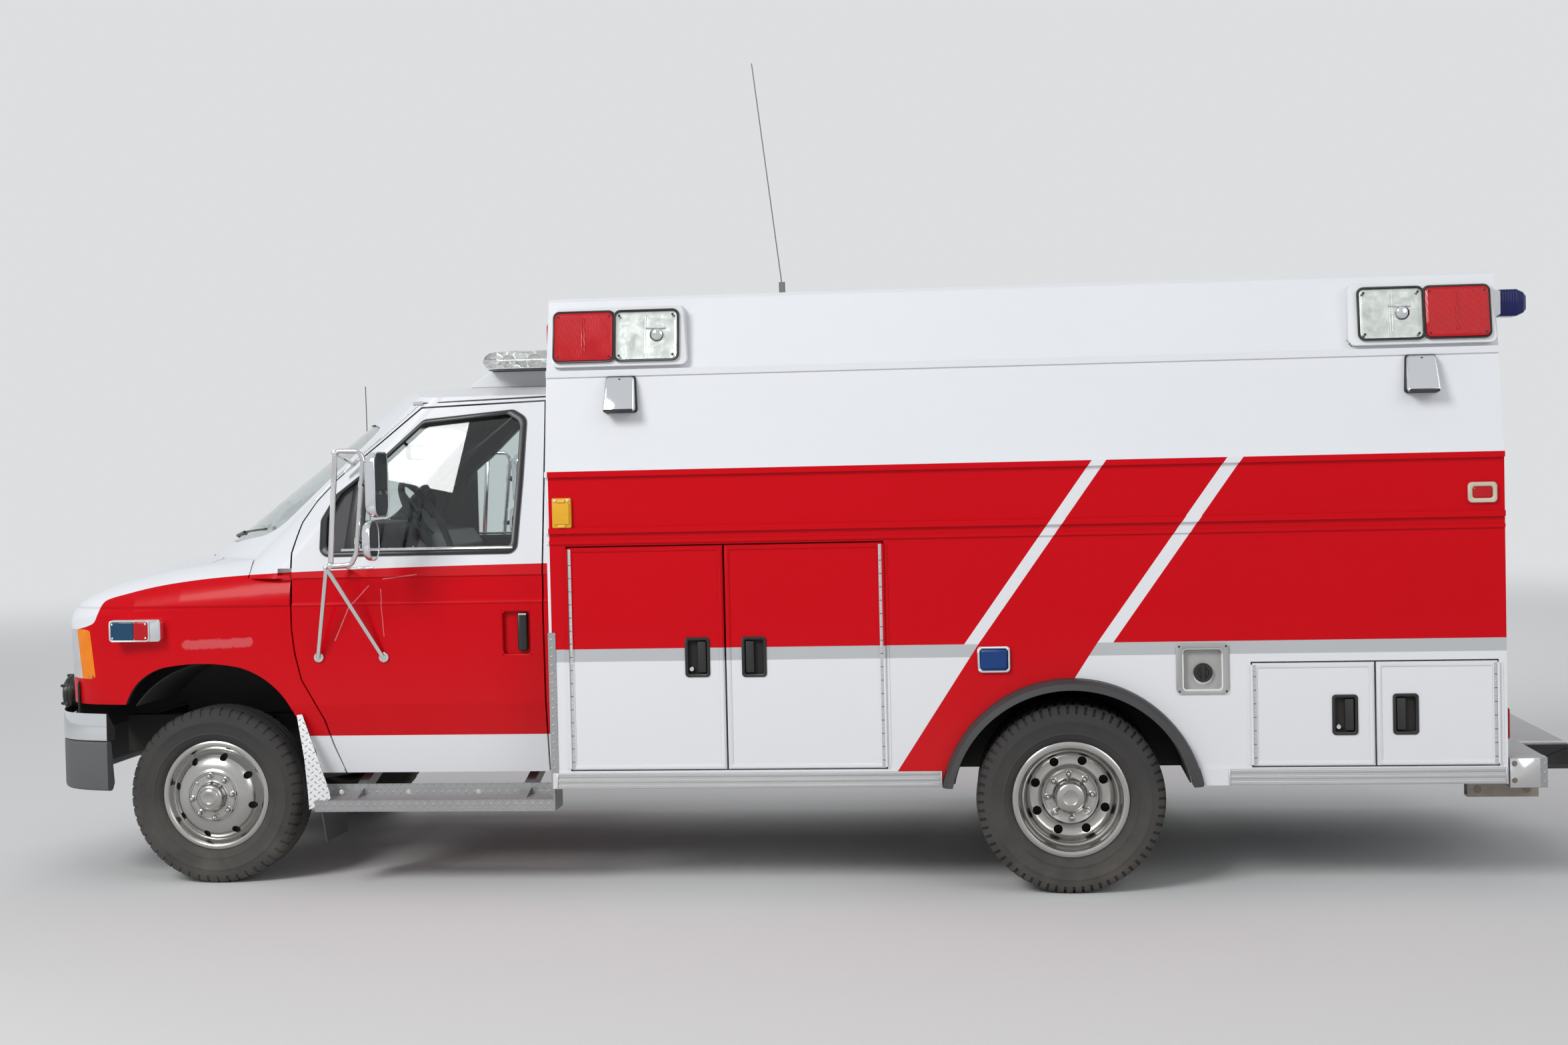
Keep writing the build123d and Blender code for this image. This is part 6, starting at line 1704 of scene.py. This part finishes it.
def pan(name, x0, x1, z0, z1, hinge_x):
    """Raised border of a door, and its hinge strip with the knuckle cuts, on the driver's side."""
    edge = (x0 + 3, x1 - 3, z0 + 3, z1 - 3)
    strip = panel(hinge_x - 7, hinge_x + 7, z0 + 6, z1 - 6, 1.5, 1)
    toward = 1 if hinge_x < (x0 + x1) / 2 else -1
    parts = [side_ring("border", edge, 16, (8, 6), skin + 0.4, -3, paint, 1.4),
             plate("strip", strip, skin - 2.6, -1.5, satin)]
    for step in range(int((z1 - z0) // knuckle_pitch)):
        z = z0 + 30 + knuckle_pitch * step
        mark = panel(hinge_x - 6, hinge_x + 6, z, z + 2.5, 0.5, 1)
        rivet = at(hinge_x + toward * 1.5, skin - 4, z + knuckle_pitch / 2)
        parts += [plate("cut", mark, skin - 3.9, -0.5, black_plastic),
                  stub("rivet", rivet, (0, -1.2, 0), 3.2, satin, 8)]
    return join(name, *parts)


hang_on_doors(pan, left_pans, right_pans, "_pan", "body_paint")

# %% [markdown]
# The skirt rail is an aluminium section with three ribs and a cap at each end. It stops at the wheel opening.
# The fuel filler has a grey bezel and a grey dish with a dark turned cap. Bolts hold the running board and
# the step ends, and a rubber flap hangs behind the front wheel.

# %% Skirt, filler and bolts
rail_out = -(box_half + 12.3)
flap_lean = 0.14


def skirt_length(x0, x1):
    """Ribs along a stretch of the skirt rail, and its end caps."""
    parts = [plate("face", panel(x0, x1, 415.5, 477.5, 2, 2), rail_out + 1, -2, satin)]
    for z0, z1 in ((417, 431), (440, 453), (462, 476)):
        parts.append(plate("rib", panel(x0 + 4, x1 - 4, z0, z1, 5, 3), rail_out + 1, -6, satin, soft=2))
    for x in (x0, x1 - 5):
        parts.append(plate("cap", panel(x, x + 5, 415, 478, 2, 2), rail_out + 1, -7, satin, soft=1))
    return parts + screws([(x0 + 30, 446), (x1 - 30, 446)], rail_out, 3, 5, black_plastic)


filler_face, filler_hole = panel(3915, 4116, 764, 961, 22), panel(3938, 4092, 778, 942, 16)
filler_grey = worn("filler grey", (0.4, 0.395, 0.38), 0.45, bump=0.1, Blotches=0.1, Dust=0.15)
cap = [(0, 0), (0, 37), (14, 36), (17, 33), (17, 22), (13, 20), (13, 0)]
filler = [ring("bezel", on_side(filler_face, skin), on_side(filler_hole, skin), (0, -6, 0), filler_grey, 2.5),
          plate("dish", filler_hole, skin + 22, 3, filler_grey),
          turned("cap", at(4018, skin + 22, 846), (0, -1, 0), cap, black_plastic, 28),
          plate("grip", panel(4010, 4026, 814, 878, 6, 3), skin + 9, -9, black_plastic, soft=2),
          *screws(corners_of(3927, 4104, 776, 949), skin - 6, 1.5, 4, black_plastic, 8)]
hang(join("fuel_filler", *filler), "chassis", "lamp_white")

flap = [at(500 + (332 - z) * flap_lean, y, z)
        for y, z in rounded([(-1128, 332), (-1128, 196), (-850, 196), (-850, 332)], 10)]
trim_parts = [*skirt_length(1489, 3012), *skirt_length(4108, 5140),
              slab("flap", flap, (7, 0, 0), flare_rubber, soft=1.5)]
board_bolt = [(0, 0), (0, 11), (2, 11), (2, 8), (7, 8), (8, 6), (8, 0)]
end_bolt = [(0, 0), (0, 11), (1, 11), (1, 8), (6, 8), (6, 0)]
for x in (591, 869, 1156):
    trim_parts.append(turned("bolt", at(x, -1130.2, 401), (0, -1, 0), board_bolt, bright_steel, 6, 20))
for z in (425, 490):
    trim_parts.append(turned("bolt", at(5170, -1174.2, z), (0, -1, 0), end_bolt, exhaust_steel, 6, 20))
trim_left = join("side_trim_left", *trim_parts)
hang_pair(trim_left, "chassis", "tread_plate")
print("side trim faces", len(trim_left.data.polygons))

# %% [markdown]
# The rear step and the plates on the side keep the CAD form with softened edges. Rear doors get handles, and
# their hinges stay as the CAD has them. A seal frames each rear window and the window in the entry door.

# %% Rear step and rear doors
step = copy_of("rear_bumper", "rear_step_soft", lambda place, normal: True, tread_plate)
hang(soften(step, 3, 2, 50), "chassis", "tread_plate", "rear_bumper")
khaki = worn("khaki steel", (0.34, 0.31, 0.25), 0.6, bump=0.2, Blotches=0.8, Blotch_Scale=14.0, Dust=0.5)


def step_trim():
    """Curved end plate, rubber end of the middle step, its pale edge, which is a painted highlight along the
    step's curved edge, and the plate of the tow bar.
    """
    corner = [(5154, -1173), (5258, -1173), (5284, -1162), (5296, -1136), (5298, -1085), (5294, -1085),
              (5291, -1134), (5281, -1157), (5257, -1169.5), (5154, -1169.5)]
    # The pale edge is a white strip on top of the middle step: a painted highlight where light catches the
    # step's curved edge.
    edge = on_level(panel(5156, 5478, -699, -662, 3, 2), 502.4)
    parts = [slab("wrap", on_level(corner, 398), (0, 0, 111), bright_steel, soft=1),
             plate("rubber", panel(5296, 5492, 402, 498, 12), -701, -14, black_plastic, 14, -6, 2),
             slab("edge", edge, (0, 0, 3), white_plastic, soft=1),
             plate("bar", panel(5031, 5297, 337, 396, 4), -1000.4, -3, khaki)]
    # The two holes in the tow bar's plate are thin rust-brown discs laid on it, not cuts: partly rust round the
    # holes, partly painted shade inside them.
    hole = [(0, 0), (0, 15), (1, 14), (0.4, 11), (0.4, 0)]
    for x in (5068, 5253):
        parts.append(turned("hole", at(x, -1003.5, 366), (0, -1, 0), hole, exhaust_steel, 18))
    return join("step_trim_left", *parts)


def rear_trim():
    """Handle, lock and window seal of the driver's side rear door."""
    face = box_rear + 0.3
    handle = [at(face + 4, -68, 1310), at(face + 40, -68, 1300), at(face + 40, -68, 1208),
              at(face + 4, -68, 1198)]
    parts = [ring("seal", on_end(panel(-476, -144, 1474, 1896, 44), face - 1),
                  on_end(panel(-462, -158, 1488, 1882, 34), face - 1), (6, 0, 0), black_plastic, 2),
             slab("plate", on_end(panel(-92, -44, 1180, 1330, 10), face), (6, 0, 0), chrome, soft=2),
             bent_tube("handle", handle, 7, 18, chrome)]
    return join("rear_door_trim_left", *parts)


hang_pair(step_trim(), "chassis", "tread_plate")
hang_pair(rear_trim(), "rear_door_{}", "chrome")
entry_seal = side_ring("drawn", (2162, 2648, 1312, 1648), 16, (46, 34), skin + 1, -6, black_plastic, 2)
hang_mirrored(entry_seal, "entry_window_seal", "entry_door", "liner_plastic")
print("rear step faces", len(step.data.polygons))

# %% [markdown]
# Each seat has a cushion, a back and a head rest, stuffed and covered in grey cloth. A part starts as a
# slightly small block that is remeshed into even squares. Cloth simulation then swells it under pressure. The
# lines where the cover is sewn through are held still, so channels form between the swelling panels. How far
# any point may move is capped, and the result is applied to the mesh.

# %% Seats
voxel, swell_cap = 0.011, 0.018
cloth_pressure, cloth_frames = 4.0, 20
seam_half = 0.008


def swell(piece, seams):
    """Blow up a remeshed block under a cover, held along its seams, with every movement capped."""
    apply_modifier(piece, "REMESH", mode="VOXEL", voxel_size=voxel)
    start = [vertex.co.copy() for vertex in piece.data.vertices]
    sewn = piece.vertex_groups.new(name="sewn")
    sewn.add([number for number, place in enumerate(start) if seams(place)], 1.0, "REPLACE")
    activate(piece)
    bpy.ops.object.modifier_add(type="CLOTH")
    cloth = piece.modifiers[-1]
    cloth.settings.use_pressure = True
    cloth.settings.uniform_pressure_force = cloth_pressure
    cloth.settings.vertex_group_mass = "sewn"
    cloth.settings.effector_weights.gravity = 0
    for number in range(1, cloth_frames + 1):
        bpy.context.scene.frame_set(number)
    bpy.ops.object.modifier_apply(modifier=cloth.name)
    bpy.context.scene.frame_set(1)
    for vertex, place in zip(piece.data.vertices, start):
        moved = vertex.co - place
        if moved.length > swell_cap:
            vertex.co = place + moved * (swell_cap / moved.length)


def stuffed(name, outline, half, seams):
    """A swollen block from a side outline, as wide as twice the half width."""
    piece = plate(name, rounded(outline, 34, 4), middle_y - half, 2 * half, seat_cloth)
    soften(piece, 26, 4, 50)
    swell(piece, seams)
    piece.data.materials.clear()
    piece.data.materials.append(seat_cloth)
    apply_modifier(piece, "SUBSURF", levels=1, render_levels=1)
    return smooth(piece, 180)


def sewn_above(low):
    """A test for points above a height that lie close to one of the two sewn lines."""
    return lambda place: place.z > low and any(abs(place.y - line * mm) < seam_half for line in sewn_lines)


middle_y, half_y = -480, 226
sewn_lines = [middle_y - 120, middle_y + 120]
cushion_outline = [(812, 912), (803, 988), (868, 1024), (1240, 988), (1276, 912)]
back_outline = [(1196, 972), (1284, 946), (1371, 1562), (1350, 1588), (1300, 1570)]
rest_outline = [(1310, 1592), (1366, 1590), (1384, 1728), (1336, 1738)]
cushion = stuffed("cushion", cushion_outline, half_y, sewn_above(at(0, 0, 950).z))
back = stuffed("back", back_outline, half_y, sewn_above(0))
rest = stuffed("rest", rest_outline, 118, lambda place: False)
posts = [bent_tube("post", [at(1330, middle_y + side, 1560), at(1345, middle_y + side, 1640)], 6, 5,
                   bright_steel) for side in (-50, 50)]
seat_left = join("seat_left", cushion, back, rest, *posts)
for piece in hang_pair(seat_left, "chassis", "seat_vinyl", "seats"):
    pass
print("seat faces", len(seat_left.data.polygons))
